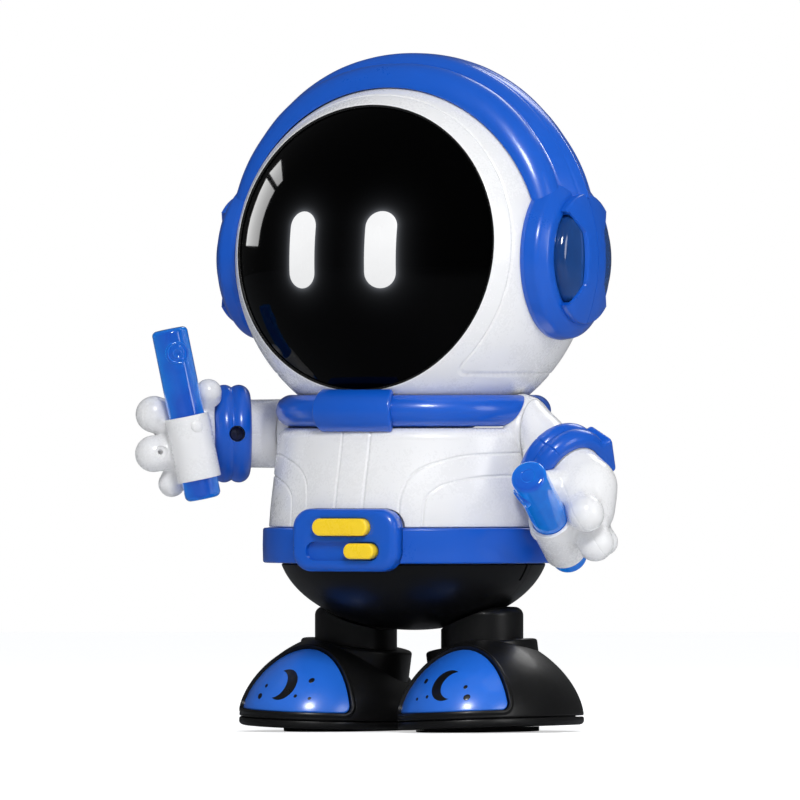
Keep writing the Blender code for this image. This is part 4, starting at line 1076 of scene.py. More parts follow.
# ================================================================== belt, buckle, keys
BODY_SQUASH = 0.985                 # depth over width of the belt and the hip bowl
UPRIGHT = upright_at(0, 0, 0)
BELT = [(41.0, 50.5, 0), (45.3, 50.5, 0.75), (45.42, 55.7, 40), (45.3, 61.0, 0.75),
        (43.9, 61.0, 0.2), (43.6, 61.15, 0.1), (41.0, 61.15, 0)]      # radius, height, corner
belt = lathe("belt_band", fillet(BELT, 6), UPRIGHT, M_BLUE, 360, BODY_SQUASH, 40)
cut(belt, buckle_room(40.0))
put(belt, "body", "blue_plastic", "belt")

BUTTON_X, BUTTON_Z = 0.0, 61.35
SWITCH_X, SWITCH_Z = 6.3, 54.2


def buckle_plate():
    stations = [(0.35, 40.5), (0.0, 40.9), (0.0, 43.9)]               # inset, forward
    stations += [(2.3 * (1 - math.cos(q)), 43.9 + 2.45 * math.sin(q))
                 for q in np.linspace(0.14, math.pi / 2, 12)]
    rings = [front_ring(box_outline(BUCKLE_HALF_W - inset, BUCKLE_HALF_H - inset,
                                    BUCKLE_CORNER - inset * 0.6, 12), forward, z=BUCKLE_Z)
             for inset, forward in stations]
    middle = box_outline(BUCKLE_HALF_W - 4.5, BUCKLE_HALF_H - 4.5, 3.0, 12)
    rings.append(front_ring(middle, 46.42, z=BUCKLE_Z))
    ob = loft("belt_buckle_plate", rings, M_BLUE, 40)
    slot = front_prism(box_outline(12.35, 2.85, 2.8, 12), SWITCH_Z, (44.9, 60.0))
    well = front_prism(box_outline(9.5, 2.85, 2.8, 12), BUTTON_Z, (44.1, 60.0))
    cut(ob, slot, well, bevel=0.28, segs=3, angle=50, sharp=45, solver="EXACT")
    return ob


def key_piece(name, x, z, half_w, half_h, base, face):
    """A pill-shaped key with a round front edge, from base to face."""
    stations = [(0.0, base)]                                          # inset, forward
    stations += [(0.7 * (1 - math.cos(q)), face - 0.7 + 0.7 * math.sin(q))
                 for q in np.linspace(0, math.pi / 2, 9)]
    stations.append((1.6, face + 0.03))
    rings = [front_ring(box_outline(half_w - inset, half_h - inset, half_h - 0.05 - inset, 14),
                        forward, x, z) for inset, forward in stations]
    return loft(name, rings, M_YELLOW, 40)


put(buckle_plate(), "body", "blue_plastic", "belt_buckle")
put(key_piece("mode_key", BUTTON_X, BUTTON_Z, half_w=9.25, half_h=2.6, base=45.7, face=48.7),
    "button", "yellow_plastic", "mode_button")
put(key_piece("switch_knob", SWITCH_X, SWITCH_Z, half_w=5.1, half_h=2.35, base=45.0, face=48.6),
    "slider", "yellow_plastic", "power_slider")

# ================================================================== hip bowl
BOWL_R, BOWL_DEPTH, BOWL_Z = 40.8, 25.5, 55.8
LEG_HOLE = [(0, 25), (4.4, 25), (4.4, 47), (0, 47)]


def bowl_half(name, way):
    turn = math.pi * edged(steps(300), 0.3, 125.0)
    down = np.linspace(math.asin((BOWL_Z - 50.2) / BOWL_DEPTH), math.pi / 2 - 0.002,
                       steps(110))
    turn, down = np.meshgrid(turn, down, indexing="ij")

    def skin(less, drop):
        r = (BOWL_R - less - drop) * np.cos(down)
        return world(r * np.cos(turn), way * (BODY_SQUASH * r * np.sin(turn) + 0.015),
                     BOWL_Z - (BOWL_DEPTH - less - drop) * np.sin(down))

    drop = edge_drop(np.minimum(turn, math.pi - turn) * BOWL_R * np.cos(down), 0.06)
    drop = drop + edge_drop((down - down[0, 0]) * 30.0, 0.3)
    ob = shell(name, skin(0.0, drop), skin(2.2, 0.0), M_BLACK, sharp=40)
    for sign, _ in SIDES:
        cut(ob, turned_tool(LEG_HOLE, upright_at(sign * LEG_X, LEG_FORWARD, 0), 48))
    if way > 0:
        # a short upright slot at each side, just in front of the seam
        for sign, _ in SIDES:
            cut(ob, lofted_tool([world(sign * x, (2.2, 3.3, 3.3, 2.2), (45.3, 45.3, 52, 52))
                                 for x in (36.6, 44.0)]))
    return ob


for end, way in (("front", 1), ("rear", -1)):
    put(bowl_half("hip_shell_" + end, way), "body", "black_plastic", "hip_bowl_" + end)

# ================================================================== shoes and ankles
COLLAR_TILT, SHOE_ROLL = math.radians(8), math.radians(2.2)
SHOE_X, SHOE_FORWARD, SHOE_LIFT = 26.8, 1.3, 1.25
SHOE_HALF_W, SHOE_HALF_L, SHOE_H, SHOE_BASE = 25.2, 36.6, 25.3, 2.8
COLLAR_R, COLLAR_TOP = 16.8, 1.95
# the shoe is mapped by rays from this point inside it, towards the toe
RAY_START = np.array((0.0, 9.0, 4.2))
AIM = unit((0.0, 1.0, 0.38))
AIM_SIDE = np.array((1.0, 0.0, 0.0))
AIM_UP = np.cross(AIM_SIDE, AIM)


def toe_inside(p):
    """Distance inside the toe window's outline; negative outside."""
    x, forward, z = p[..., 0], p[..., 1], p[..., 2]
    past_arc = (forward - (16.2 + 0.0215 * x * x)) / np.sqrt(1 + (0.043 * x) ** 2)
    above = z - 5.05
    r = 2.6
    corner = r - np.hypot(np.maximum(r - past_arc, 0), np.maximum(r - above, 0))
    return np.where((past_arc < r) & (above < r), corner, np.minimum(past_arc, above))


def dome_hit(d):
    """Where rays meet the shoe's dome, by halving."""
    low = np.zeros(d.shape[:-1])
    high = np.full(d.shape[:-1], 90.0)
    for _ in range(34):
        middle = (low + high) / 2
        p = RAY_START + d * middle[..., None]
        flat = np.hypot(p[..., 0] / SHOE_HALF_W, p[..., 1] / SHOE_HALF_L)
        height = np.maximum(p[..., 2] - SHOE_BASE, 0) / SHOE_H
        outside = flat ** 1.7 + height ** 1.7 - 1 > 0
        high = np.where(outside, middle, high)
        low = np.where(outside, low, middle)
    return RAY_START + d * low[..., None]


def dome_normal(p):
    x, forward, z = p[..., 0], p[..., 1], np.maximum(p[..., 2] - SHOE_BASE, 1e-4)
    flat = np.maximum(np.hypot(x / SHOE_HALF_W, forward / SHOE_HALF_L), 1e-6)
    n = np.stack([flat ** -0.3 * x / SHOE_HALF_W ** 2,
                  flat ** -0.3 * forward / SHOE_HALF_L ** 2,
                  (z / SHOE_H) ** 0.7 / SHOE_H], -1)
    return n / np.linalg.norm(n, axis=-1, keepdims=True)


def dome_at(turn, spread):
    """Points of the dome at an angle round the aim and an angle away from it."""
    side = np.cos(turn)[..., None] * AIM_SIDE + np.sin(turn)[..., None] * AIM_UP
    return dome_hit(np.cos(spread)[..., None] * AIM + np.sin(spread)[..., None] * side)


def find_spread(turn, test, highest):
    """Largest angle from the aim at which test is still positive."""
    low, high = np.zeros_like(turn), np.full_like(turn, highest)
    for _ in range(30):
        middle = (low + high) / 2
        good = test(dome_at(turn, middle)) > 0
        low = np.where(good, middle, low)
        high = np.where(good, high, middle)
    return low


def in_shoe(sign):
    """Places shoe points; the shoe is rolled so that its outer edge lifts."""
    c, s = math.cos(SHOE_ROLL), math.sin(SHOE_ROLL)

    def place(p):
        x, forward, z = p[..., 0], p[..., 1], p[..., 2]
        return world(sign * (SHOE_X + (x * c - z * s)), SHOE_FORWARD + forward,
                     SHOE_LIFT + (x * s + z * c))
    return place


def collar_frame(sign):
    lean = (-sign * math.sin(COLLAR_TILT), 0.0, math.cos(COLLAR_TILT))
    return frame_of((sign * LEG_X, LEG_FORWARD, COLLAR_Z), lean, (1, 0, 0))


SHOE_TURN = np.linspace(0, 2 * math.pi, steps(520), endpoint=False)
TOE_SPREAD = find_spread(SHOE_TURN, toe_inside, 1.9)
RIM_SPREAD = find_spread(SHOE_TURN, lambda p: p[..., 2] - 2.75, 3.0)


def shoe_skins():
    """Outer and inner grids of the shoe, from a raised lip round the toe window to the rim."""
    t = np.linspace(0, 1, steps(230))
    t = 0.5 * t ** 2.6 + 0.5 * t                # more rows near the lip
    gap = 0.008                                 # radians, between toe and shoe
    spread = (TOE_SPREAD[:, None] + gap) + (RIM_SPREAD - TOE_SPREAD - gap)[:, None] * t
    p = dome_at(np.broadcast_to(SHOE_TURN[:, None], spread.shape), spread)
    away = np.maximum(-toe_inside(p), 0)
    height, crest, width = 0.42, 0.75, 1.7
    wave = 0.5 + 0.5 * np.cos(math.pi * (away - crest) / 0.95)
    lip = height * np.where(away < width, wave, 0.0)
    front = height * np.sqrt(np.maximum(1 - ((crest - away) / 0.85) ** 2, 0))
    lip = np.where(away < crest, front, lip)
    n = dome_normal(p)
    outer = p + n * (lip - edge_drop(p[..., 2] - 2.70, 0.45))[..., None]
    inner = p - n * 2.0
    inner[..., 2] = np.maximum(inner[..., 2], 2.72)
    return outer, inner


TOE_SINK, TOE_BACK = 0.62, 2.0      # the toe cap's skins below the dome


def toe_skins():
    """Outer and inner grids of the toe cap, then its outer and inner pole points."""
    t = np.sin(np.linspace(0, 1, steps(130)) * math.pi / 2)[::-1]
    spread = (TOE_SPREAD - 0.004)[:, None] * np.maximum(t, 0.004)
    p = dome_at(np.broadcast_to(SHOE_TURN[:, None], spread.shape), spread)
    n = dome_normal(p)
    sink = TOE_SINK + edge_drop(np.maximum(toe_inside(p), 0), 0.55)
    pole = dome_hit(AIM[None, :])
    pole_n = dome_normal(pole)
    return (p - n * sink[..., None], p - n * TOE_BACK,
            pole - pole_n * TOE_SINK, pole - pole_n * TOE_BACK)


SHOE_SKINS = shoe_skins()
TOE_SKINS = toe_skins()

# the printed motif in the toe's (x, z) plane: a crescent and round dots
MOON_X, MOON_Z, MOON_R = 1.2, 13.2, 4.6
DOTS = [(-7.2, 14.8, 0.75), (-4.4, 10.0, 0.5), (7.4, 12.6, 0.55), (8.6, 9.4, 0.9),
        (-8.6, 9.4, 0.45)]          # x, z, radius


def on_toe(flat, lift):
    """Points (x, z) laid on the toe cap's skin and lifted off it."""
    p = np.stack([flat[..., 0], np.zeros(flat.shape[:-1]), flat[..., 1]], -1)
    level = (1 - (np.maximum(p[..., 2] - SHOE_BASE, 0) / SHOE_H) ** 1.7) ** (1 / 1.7)
    p[..., 1] = SHOE_HALF_L * np.sqrt(np.maximum(level ** 2 - (p[..., 0] / SHOE_HALF_W) ** 2, 0))
    return p + dome_normal(p) * (-TOE_SINK + lift)


def arc_points(x, z, radius, angles):
    return np.stack([x + radius * np.cos(angles), z + radius * np.sin(angles)], -1)


def moon_print(place, side):
    """Strips between an outer and an inner arc that meet at the horns."""
    n = steps(56)
    outer = arc_points(MOON_X, MOON_Z, MOON_R,
                       np.linspace(math.radians(62), math.radians(62 + 236), n))
    horn, other = outer[0], outer[-1]
    chord = other - horn
    centre = (horn + other) / 2 + unit(np.array((chord[1], -chord[0]))) * -0.55
    a0 = math.atan2(*(horn - centre)[::-1])
    a1 = math.atan2(*(other - centre)[::-1])
    if a1 < a0:
        a1 += 2 * math.pi
    inner = arc_points(*centre, np.linalg.norm(horn - centre), np.linspace(a0, a1, n))
    t = np.linspace(0, 1, 9)[None, :, None]
    grid = outer[:, None, :] * (1 - t) + inner[:, None, :] * t
    return shell("moon_print_" + side, place(on_toe(grid, 0.07)), place(on_toe(grid, -0.25)),
                 M_INK, sharp=40)


def dot_print(place, name, x, z, radius):
    angles = np.linspace(0, 2 * math.pi, 32, endpoint=False)
    stations = ((1.0, -0.25), (1.0, 0.04), (0.94, 0.07), (0.5, 0.075), (0.15, 0.075))
    rings = [place(on_toe(arc_points(x, z, radius * part, angles), lift))
             for part, lift in stations]                              # part of radius, lift
    return loft(name, rings, M_INK, 40)


ROUND = np.linspace(0, 2 * math.pi, steps(300), endpoint=False)
# how far each ring of the sole lies inside the shoe's outline, and its height
SOLE_RINGS = [(14.0, 0.0), (1.5, 0.0)]
SOLE_RINGS += [(1.5 * (1 - math.sin(q)), 1.2 * (1 - math.cos(q)))
               for q in np.linspace(0.15, math.pi / 2, 9)]
SOLE_RINGS += [(0.0, 1.9), (0.12, 2.25), (0.45, 2.42), (2.45, 2.42), (2.5, 4.1), (3.8, 4.1),
               (3.9, 2.42), (14.0, 2.42)]


def sole(place, side):
    rings = [place(np.stack([(SHOE_HALF_W - inset) * np.cos(ROUND),
                             (SHOE_HALF_L - inset) * np.sin(ROUND),
                             np.full(len(ROUND), z)], -1)) for inset, z in SOLE_RINGS]
    return loft("sole_" + side, rings, M_SHOE, 40)


def grip_pad(sign, side):
    """An oval pad on the floor whose top follows the rolled sole."""
    def outline(part):
        return 22.3 + 14.5 * part * np.cos(ROUND), SHOE_FORWARD + 29.0 * part * np.sin(ROUND)

    rings = []
    for part, z in ((0.3, 0.0), (0.90, 0.0), (0.985, 0.0), (1.0, 0.12)):
        x, forward = outline(part)
        rings.append(world(sign * x, forward, z))
    x, forward = outline(1.0)
    rings.append(world(sign * x, forward, SHOE_LIFT + (x - SHOE_X) * math.tan(SHOE_ROLL) - 0.12))
    return loft("grip_pad_" + side, rings, M_RUBBER, 40)


# profiles are (radius, height[, corner radius]); the collar's is along its leaning axis
COLLAR = [(7.9, -1.9, 0), (10.3, -1.9, 0), (10.3, -8.2, 0), (COLLAR_R, -8.2, 0.3),
          (COLLAR_R, 1.9, 0.9), (13.6, COLLAR_TOP, 0.3), (7.9, COLLAR_TOP, 0.2)]
POST = [(0, 16, 0), (12.35, 16, 0), (12.35, 37.2, 2.6), (4.0, 37.6, 0), (4.0, 54, 0), (0, 54, 0)]
SHAFT = [(0, 26.5), (4.0, 26.5), (4.0, 54), (0, 54)]
SPIGOT = [(0, -5.2), (9.5, -5.2), (9.5, -2.6), (7.5, -2.6), (7.5, 3.2), (0, 3.2)]


def ankle_post(sign, side):
    """A post trimmed by the bowl above and the collar below, then given shaft and spigot."""
    at = upright_at(sign * LEG_X, LEG_FORWARD, 0)
    leaning = collar_frame(sign)
    ob = lathe("ankle_tube_" + side, fillet(POST, 10), at, M_SHOE, 200, sharp=40)
    bowl = [((BOWL_R + 0.7) * math.cos(q), BOWL_Z - (BOWL_DEPTH + 0.7) * math.sin(q))
            for q in math.pi / 2 - np.linspace(0.0, math.pi / 2 - 0.15, 60)]
    bowl.append((0, bowl[-1][1]))
    cut(ob, turned_tool(bowl, UPRIGHT, 160, BODY_SQUASH))
    floor_w = COLLAR_TOP + 0.12
    cut(ob, turned_tool([(0, -40), (60, -40), (60, floor_w), (0, floor_w)], leaning, 64))
    cut(ob, turned_tool(SHAFT, at, 64), how="UNION")
    cut(ob, turned_tool(SPIGOT, leaning, 96), how="UNION")
    return ob


for sign, side in SIDES:
    foot = "foot_" + side
    place = in_shoe(sign)
    shoe = shell("shoe_" + side, *map(place, SHOE_SKINS), M_SHOE, True, 45)
    pocket = [(0, -8.45), (COLLAR_R + 0.2, -8.45), (COLLAR_R + 0.2, 30), (0, 30)]
    cut(shoe, turned_tool(pocket, collar_frame(sign), 160))
    put(shoe, foot, "black_plastic", "foot_shell_" + side)
    # the toe cap takes the lighter blue, which is painted light
    put(cap_shell("toe_dome_" + side, *map(place, TOE_SKINS), M_TOE_PAINTED_LIGHT, 50),
        foot, "blue_plastic", "toe_cap_" + side)
    put(moon_print(place, side), foot, "black_plastic")
    for i, dot in enumerate(DOTS):
        put(dot_print(place, "dot_print_%s_%d" % (side, i), *dot), foot, "black_plastic")
    put(sole(place, side), foot, "black_plastic", "sole_plate_" + side)
    put(grip_pad(sign, side), foot, "pad_rubber", "sole_pad_" + side)
    put(lathe("ankle_disc_" + side, fillet(COLLAR, 8), collar_frame(sign), M_SHOE, 220,
              sharp=40), foot, "black_plastic", "foot_collar_" + side)
    put(ankle_post(sign, side), "leg_" + side, "black_plastic", "ankle_post_" + side)

# ================================================================== arms
# arm points are (outwards, forward, up) from the body's axis at shoulder height
TURN = math.radians(31)             # the forearm turns this far forward
CUFF = np.array((54.4, 14.0, 0.0))
ALONG = np.array((math.cos(TURN), math.sin(TURN), 0.0))
PALM_WAY = np.array((-math.sin(TURN), math.cos(TURN), 0.0))
ARM_UP = np.array((0.0, 0.0, 1.0))
PAD_TILT = math.radians(20)         # the cuff's flat pad sits below the side away from the palm
PAD_OUT = -PALM_WAY * math.cos(PAD_TILT) - ARM_UP * math.sin(PAD_TILT)
PAD_ACROSS = ARM_UP * math.cos(PAD_TILT) - PALM_WAY * math.sin(PAD_TILT)
STICK_C = np.array((58.6, 35.0, 5.9))
STICK_WAY = unit((0.163, 0.119, 0.979))
STICK_R, STICK_L = 5.4, 52.0
# capsules: start, end, start radius, end radius
FINGERS = [((63.9, 26.3, 3.0), (70.3, 33.6, 5.8), 5.2, 5.5),
           ((63.9, 28.0, -5.2), (69.3, 35.8, -6.0), 5.2, 5.5),
           ((63.4, 26.4, -8.2), (66.7, 29.0, -15.0), 4.7, 4.0)]
THUMB = ((59.2, 22.8, 5.6), (54.8, 28.0, 12.4), 5.0, 4.0)
WRIST = (CUFF + ALONG * 2.0, CUFF + ALONG * 11.0, 10.6, 9.4)
PALM_C, PALM_R, PALM_STRETCH = (62.4, 25.2, -1.6), 11.0, (0.98, 0.92, 1.05)
FINGER_TIP = FINGERS[1][1]
# the sleeve that holds the stick, and the smaller core that is melted into the hand
SLEEVE_TOP, SLEEVE_LOW, SLEEVE_R = -0.6, -20.0, 6.6
CORE_TOP, CORE_LOW, CORE_R = SLEEVE_TOP - 1.2, SLEEVE_LOW + 1.2, SLEEVE_R - 0.25


def arm_place(sign):
    """Places arm points; the left arm hangs, the right one is level."""
    drop = LEFT_ARM_DROP if sign > 0 else 0.0
    c, s = math.cos(drop), math.sin(drop)

    def place(p):
        p = np.asarray(p, float)
        out, forward, up = p[..., 0], p[..., 1], p[..., 2]
        return world(sign * out, forward * c + up * s, SHOULDER_Z - forward * s + up * c)
    return place


def melt(a, b, k):
    """Smooth union of two distances."""
    h = np.clip(0.5 + 0.5 * (b - a) / k, 0, 1)
    return b * (1 - h) + a * h - k * h * (1 - h)


def capsule(p, start, end, r0, r1):
    start, end = np.asarray(start, float), np.asarray(end, float)
    span = end - start
    t = np.clip(((p - start) @ span) / (span @ span), 0, 1)
    return np.linalg.norm(p - start - t[..., None] * span, axis=-1) - (r0 + (r1 - r0) * t)


def fist(p):
    """Signed distance of the closed hand, all its parts melted together."""
    palm = (np.linalg.norm((p - np.array(PALM_C)) / np.array(PALM_STRETCH), axis=-1)
            - PALM_R) * 0.95
    d = melt(palm, capsule(p, *WRIST), 2.2)
    fingers = capsule(p, *FINGERS[0])
    for finger in FINGERS[1:]:
        fingers = melt(fingers, capsule(p, *finger), 0.7)
    d = melt(d, fingers, 1.8)
    d = melt(d, capsule(p, *THUMB), 1.6)
    rel = p - STICK_C
    t = rel @ STICK_WAY
    r = np.linalg.norm(rel - t[..., None] * STICK_WAY, axis=-1)
    return melt(d, np.maximum(r - CORE_R, np.maximum(t - CORE_TOP, CORE_LOW - t)), 2.4)


def parted_fist(p):
    """The hand with the parting line of its two mouldings."""
    plane = (p - np.array((66.8, 31.0, 0.0))) @ unit(np.array((0.83, -0.52, 0.12)))
    return fist(p) + groove(plane, 0.22, 0.16) * (p[..., 0] > 60.5)


def rough_ball(centre, radius, stretch=(1, 1, 1)):
    down, turn = np.meshgrid(np.linspace(0, math.pi, 24),
                             np.linspace(0, 2 * math.pi, 40, endpoint=False), indexing="ij")
    p = np.stack([np.sin(down) * np.cos(turn) * stretch[0],
                  np.sin(down) * np.sin(turn) * stretch[1],
                  np.cos(down) * stretch[2]], -1) * radius + np.asarray(centre)
    return lofted_tool(p * MM)


def rough_tube(start, end, r0, r1):
    start, end = np.asarray(start, float), np.asarray(end, float)
    axis = unit(end - start)
    x = unit(np.cross(axis, (0.3, 0.2, 0.9)))
    y = np.cross(axis, x)
    t = np.linspace(0, 2 * math.pi, 40, endpoint=False)
    circle = np.cos(t)[:, None] * x + np.sin(t)[:, None] * y
    stations = ((start, r0), (start * 0.5 + end * 0.5, (r0 + r1) / 2), (end, r1))
    return lofted_tool([(centre + circle * r) * MM for centre, r in stations])


def rough_hand():
    """Overlapping balls and tubes in one object, under a voxel skin."""
    blobs = [rough_ball(PALM_C, PALM_R, PALM_STRETCH), rough_tube(*WRIST)]
    for start, end, r0, r1 in FINGERS + [THUMB]:
        blobs += [rough_tube(start, end, r0, r1), rough_ball(end, r1), rough_ball(start, r0)]
    blobs.append(rough_tube(STICK_C + STICK_WAY * CORE_LOW, STICK_C + STICK_WAY * CORE_TOP,
                            CORE_R, CORE_R))
    me = bpy.data.meshes.new("hand_join")
    bm = bmesh.new()
    for blob in blobs:
        bm.from_mesh(blob.data)
    bm.to_mesh(me)
    bm.free()
    ob = bpy.data.objects.new("hand_join", me)
    bpy.context.scene.collection.objects.link(ob)
    for blob in blobs:
        bpy.data.objects.remove(blob, do_unlink=True)
    skin = ob.modifiers.new("skin", "REMESH")
    skin.mode, skin.voxel_size, skin.use_smooth_shade = "VOXEL", steps(0.26) * MM, True
    settle(ob)
    return ob


def fist_mesh(side, place):
    """The rough hand's skin, laid on the distance field by Newton steps."""
    ob = rough_hand()
    me = ob.data
    flat = np.empty(len(me.vertices) * 3)
    me.vertices.foreach_get("co", flat)
    p = flat.reshape(-1, 3) / MM
    nudge = 0.02
    for field in [fist] * 7 + [parted_fist] * 3:
        d = field(p)
        slope = np.stack([field(p + v * nudge) - field(p - v * nudge) for v in np.eye(3)],
                         -1) / (2 * nudge)
        move = slope * (d / np.maximum((slope * slope).sum(-1), 0.2))[..., None]
        length = np.linalg.norm(move, axis=-1, keepdims=True)
        p = p - move * np.minimum(1.0, 0.8 / np.maximum(length, 1e-9))
    me.vertices.foreach_set("co", place(p).ravel())
    me.update()
    bm = bmesh.new()
    bm.from_mesh(me)
    bmesh.ops.recalc_face_normals(bm, faces=bm.faces)
    bm.to_mesh(me)
    bm.free()
    ob.name = "fist_" + side
    me.name = ob.name
    me.materials.append(M_WHITE)
    return ob


# (radius, distance outwards) of the axle that turns in the shoulder
AXLE = [(0, 34.8), (7.5, 34.8), (7.5, 36.5), (5.0, 36.5), (5.0, 42.5), (0, 42.5)]


def upper_arm(side, place):
    """A tube that bends towards the front, with the parting line round it."""
    length = 15.0
    end, tail = CUFF - ALONG * 5.4, CUFF + ALONG * 5.2
    q = np.linspace(0, 2 * math.pi, steps(240), endpoint=False)
    q = q - 0.275 * np.sin(2 * q)               # more columns where the parting line runs

    def parted(radius):
        return radius - groove(np.abs(np.sin(q)) * radius, 0.24, 0.18)

    rings = []
    for t in edged(steps(120), 0.5, length):
        # the share of the whole turn reached at each part of the way
        angle = TURN * float(spline((0.0, 0.3, 0.65, 1.0), (0.0, 0.2, 0.68, 1.0), t))
        r = parted(10.4 - 0.2 * t - float(edge_drop(np.array(t * length), 0.45)))
        rings.append(np.stack([
            SHOULDER_X + (end[0] - SHOULDER_X) * t - math.sin(angle) * r * np.cos(q),
            end[1] * t + math.cos(angle) * r * np.cos(q), r * np.sin(q)], -1))
    r = parted(10.2)[:, None]
    for t in np.linspace(0, 1, 12)[1:]:
        rings.append(end + (tail - end) * t + np.cos(q)[:, None] * PALM_WAY * r
                     + np.sin(q)[:, None] * ARM_UP * r)
    ob = loft("sleeve_" + side, [place(ring) for ring in rings], M_WHITE, 40)
    cut(ob, turned_tool(AXLE, frame_of((0, 0, 0), (1, 0, 0), place=place), 64), how="UNION")
    return ob


def cuff_rolls(side, place, cuff_at, screw_at):
    """Two rolls side by side, a flat pad outside, a screw hole on the palm side."""
    inner_r, half_length, ring_r, roll_r = 10.35, 5.35, 11.3, 3.4
    profile = [(inner_r, -half_length)]
    for centre, low, high in ((-2.2, -84, 37.5), (2.2, -37.5, 84)):
        for q in map(math.radians, np.linspace(low, high, 26)):
            profile.append((ring_r + roll_r * math.cos(q), centre + roll_r * math.sin(q)))
    profile.append((inner_r, half_length))
    count = steps(480)
    a = np.linspace(0, 2 * math.pi, count, endpoint=False)[:, None]
    radius, w = np.array(profile).T[:, None, :]
    line = groove(np.abs(np.sin(a)) * radius, 0.28, 0.30)
    radius = radius - np.where(radius > 11.0, line, 0.0)
    ob = make("cuff_rolls_" + side, cuff_at(radius * np.cos(a), radius * np.sin(a), w),
              grid_faces(count, len(profile), True, True), (), M_BLUE, 45)
    stations = [(11.4, 0.0), (15.0, 0.0)]                             # distance out, inset
    stations += [(15.0 + 1.0 * math.sin(q), 1.0 * (1 - math.cos(q)))
                 for q in np.linspace(0.2, math.pi / 2, 7)]
    pad = [place([CUFF + PAD_OUT * out + ALONG * u + PAD_ACROSS * v for u, v in
                  box_outline(5.3 - inset, 6.2 - inset, 1.6 - inset * 0.5, 8)])
           for out, inset in stations]
    cut(ob, lofted_tool(pad), how="UNION", sharp=45)
    cut(ob, turned_tool([(0, 8.0), (2.4, 8.0), (2.4, 20.0), (0, 20.0)], screw_at, 64), sharp=45)
    return ob


def cuff_screw(side, screw_at):
    profile = [(0, 10.5, 0), (2.05, 10.5, 0), (2.05, 12.0, 0.35), (0, 12.25, 0)]
    ob = lathe("screw_" + side, fillet(profile, 5), screw_at, M_SCREW, 64, sharp=40)
    for half_w, half_h in ((0.22, 1.25), (1.25, 0.22)):
        u, v = np.array(((1, 1), (-1, 1), (-1, -1), (1, -1))).T
        cut(ob, lofted_tool([screw_at(half_w * u, half_h * v, w) for w in (11.3, 13.0)]))
    return ob


# (radius, w) of the countersunk hole in the second finger's tip
TIP_HOLE = [(0, 2.6), (0.85, 2.6), (0.85, 4.62), (1.62, 4.72), (1.85, 5.0), (2.15, 5.6),
            (2.2, 7.5), (0, 7.5)]


def hand(side, place, cuff_at, stick_at):
    """The fist with its stick sleeve, a round nub on the sleeve, and its holes."""
    ob = fist_mesh(side, place)
    sleeve = fillet([(0, SLEEVE_LOW, 0), (SLEEVE_R, SLEEVE_LOW, 0.25),
                     (SLEEVE_R, SLEEVE_TOP, 0.3), (0, SLEEVE_TOP, 0)], 5, closed=False)
    cut(ob, turned_tool(sleeve, stick_at, 160), how="UNION")
    nub_way = np.array((-0.769, 0.639, 0.0))
    nub_way = unit(nub_way - STICK_WAY * (nub_way @ STICK_WAY))
    nub_c = STICK_C + STICK_WAY * (SLEEVE_TOP - 3.4) + nub_way * SLEEVE_R
    nub = [(0, -1.0), (1.95, -1.0), (1.95, -0.28)]
    nub += [(1.95 * math.cos(q), -0.22 + 0.80 * math.sin(q))
            for q in np.linspace(0.1, math.pi / 2 - 0.05, 12)]
    nub.append((0, 0.58))
    cut(ob, turned_tool(nub, frame_of(nub_c, nub_way, STICK_WAY, place), 48), how="UNION")
    bore_r = STICK_R + 0.22
    cut(ob, turned_tool([(0, -45), (bore_r, -45), (bore_r, 45), (0, 45)], stick_at, 120))
    # the wrist is trimmed flat beyond the cuff
    cut(ob, turned_tool([(0, -25), (15.0, -25), (15.0, 5.7), (0, 5.7)], cuff_at, 128))
    tip_at = frame_of(FINGER_TIP, (-0.821, 0.571, 0.10), ARM_UP, place)
    cut(ob, turned_tool(TIP_HOLE, tip_at, 64))
    # one slot, whatever the joins left
    ob.data.materials.clear()
    ob.data.materials.append(M_WHITE)
    return ob


def light_stick(side, place, stick_at):
    """A clear bar with a raised boss ring near its top."""
    half = STICK_L / 2
    profile = fillet([(0, -half, 0), (STICK_R, -half, 1.7), (STICK_R, half, 1.45),
                      (2.3, half, 0.3), (2.0, half - 0.22, 0.15), (0, half - 0.25, 0)],
                     8, closed=False)
    ob = lathe("stick_tube_" + side, profile, stick_at, M_STICK, 160, sharp=40)
    boss_way = np.array((-0.62, 0.785, 0.0))
    boss_way = unit(boss_way - STICK_WAY * (boss_way @ STICK_WAY))
    boss = [(0, 3.0), (3.5, 3.0), (3.5, 4.6)]
    boss += [(3.05 + 0.45 * math.cos(q), 5.15 + 0.45 * math.sin(q))
             for q in np.linspace(0, math.pi * 0.9, 10)]
    boss += [(2.5, 5.0), (2.0, 5.05), (1.6, 5.35), (1.25, 5.45), (0.95, 5.25), (0.75, 4.7),
             (0, 4.6)]
    boss_at = frame_of(STICK_C + STICK_WAY * 18.6, boss_way, STICK_WAY, place)
    cut(ob, turned_tool(boss, boss_at, 72), how="UNION")
    return ob


for sign, side in SIDES:
    arm = "arm_" + side
    place = arm_place(sign)
    cuff_at = frame_of(CUFF, ALONG, ARM_UP, place)
    screw_at = frame_of(CUFF - ALONG, PALM_WAY, ARM_UP, place)
    stick_at = frame_of(STICK_C, STICK_WAY, (-0.62, 0.785, 0), place)
    put(upper_arm(side, place), arm, "white_plastic", "upper_arm_" + side)
    put(cuff_rolls(side, place, cuff_at, screw_at), arm, "blue_plastic", "cuff_" + side)
    put(cuff_screw(side, screw_at), arm, "steel", "cuff_screw_" + side)
    put(hand(side, place, cuff_at, stick_at), arm, "white_plastic", "hand_" + side)
    put(light_stick(side, place, stick_at), arm, "stick_plastic", "light_stick_" + side)

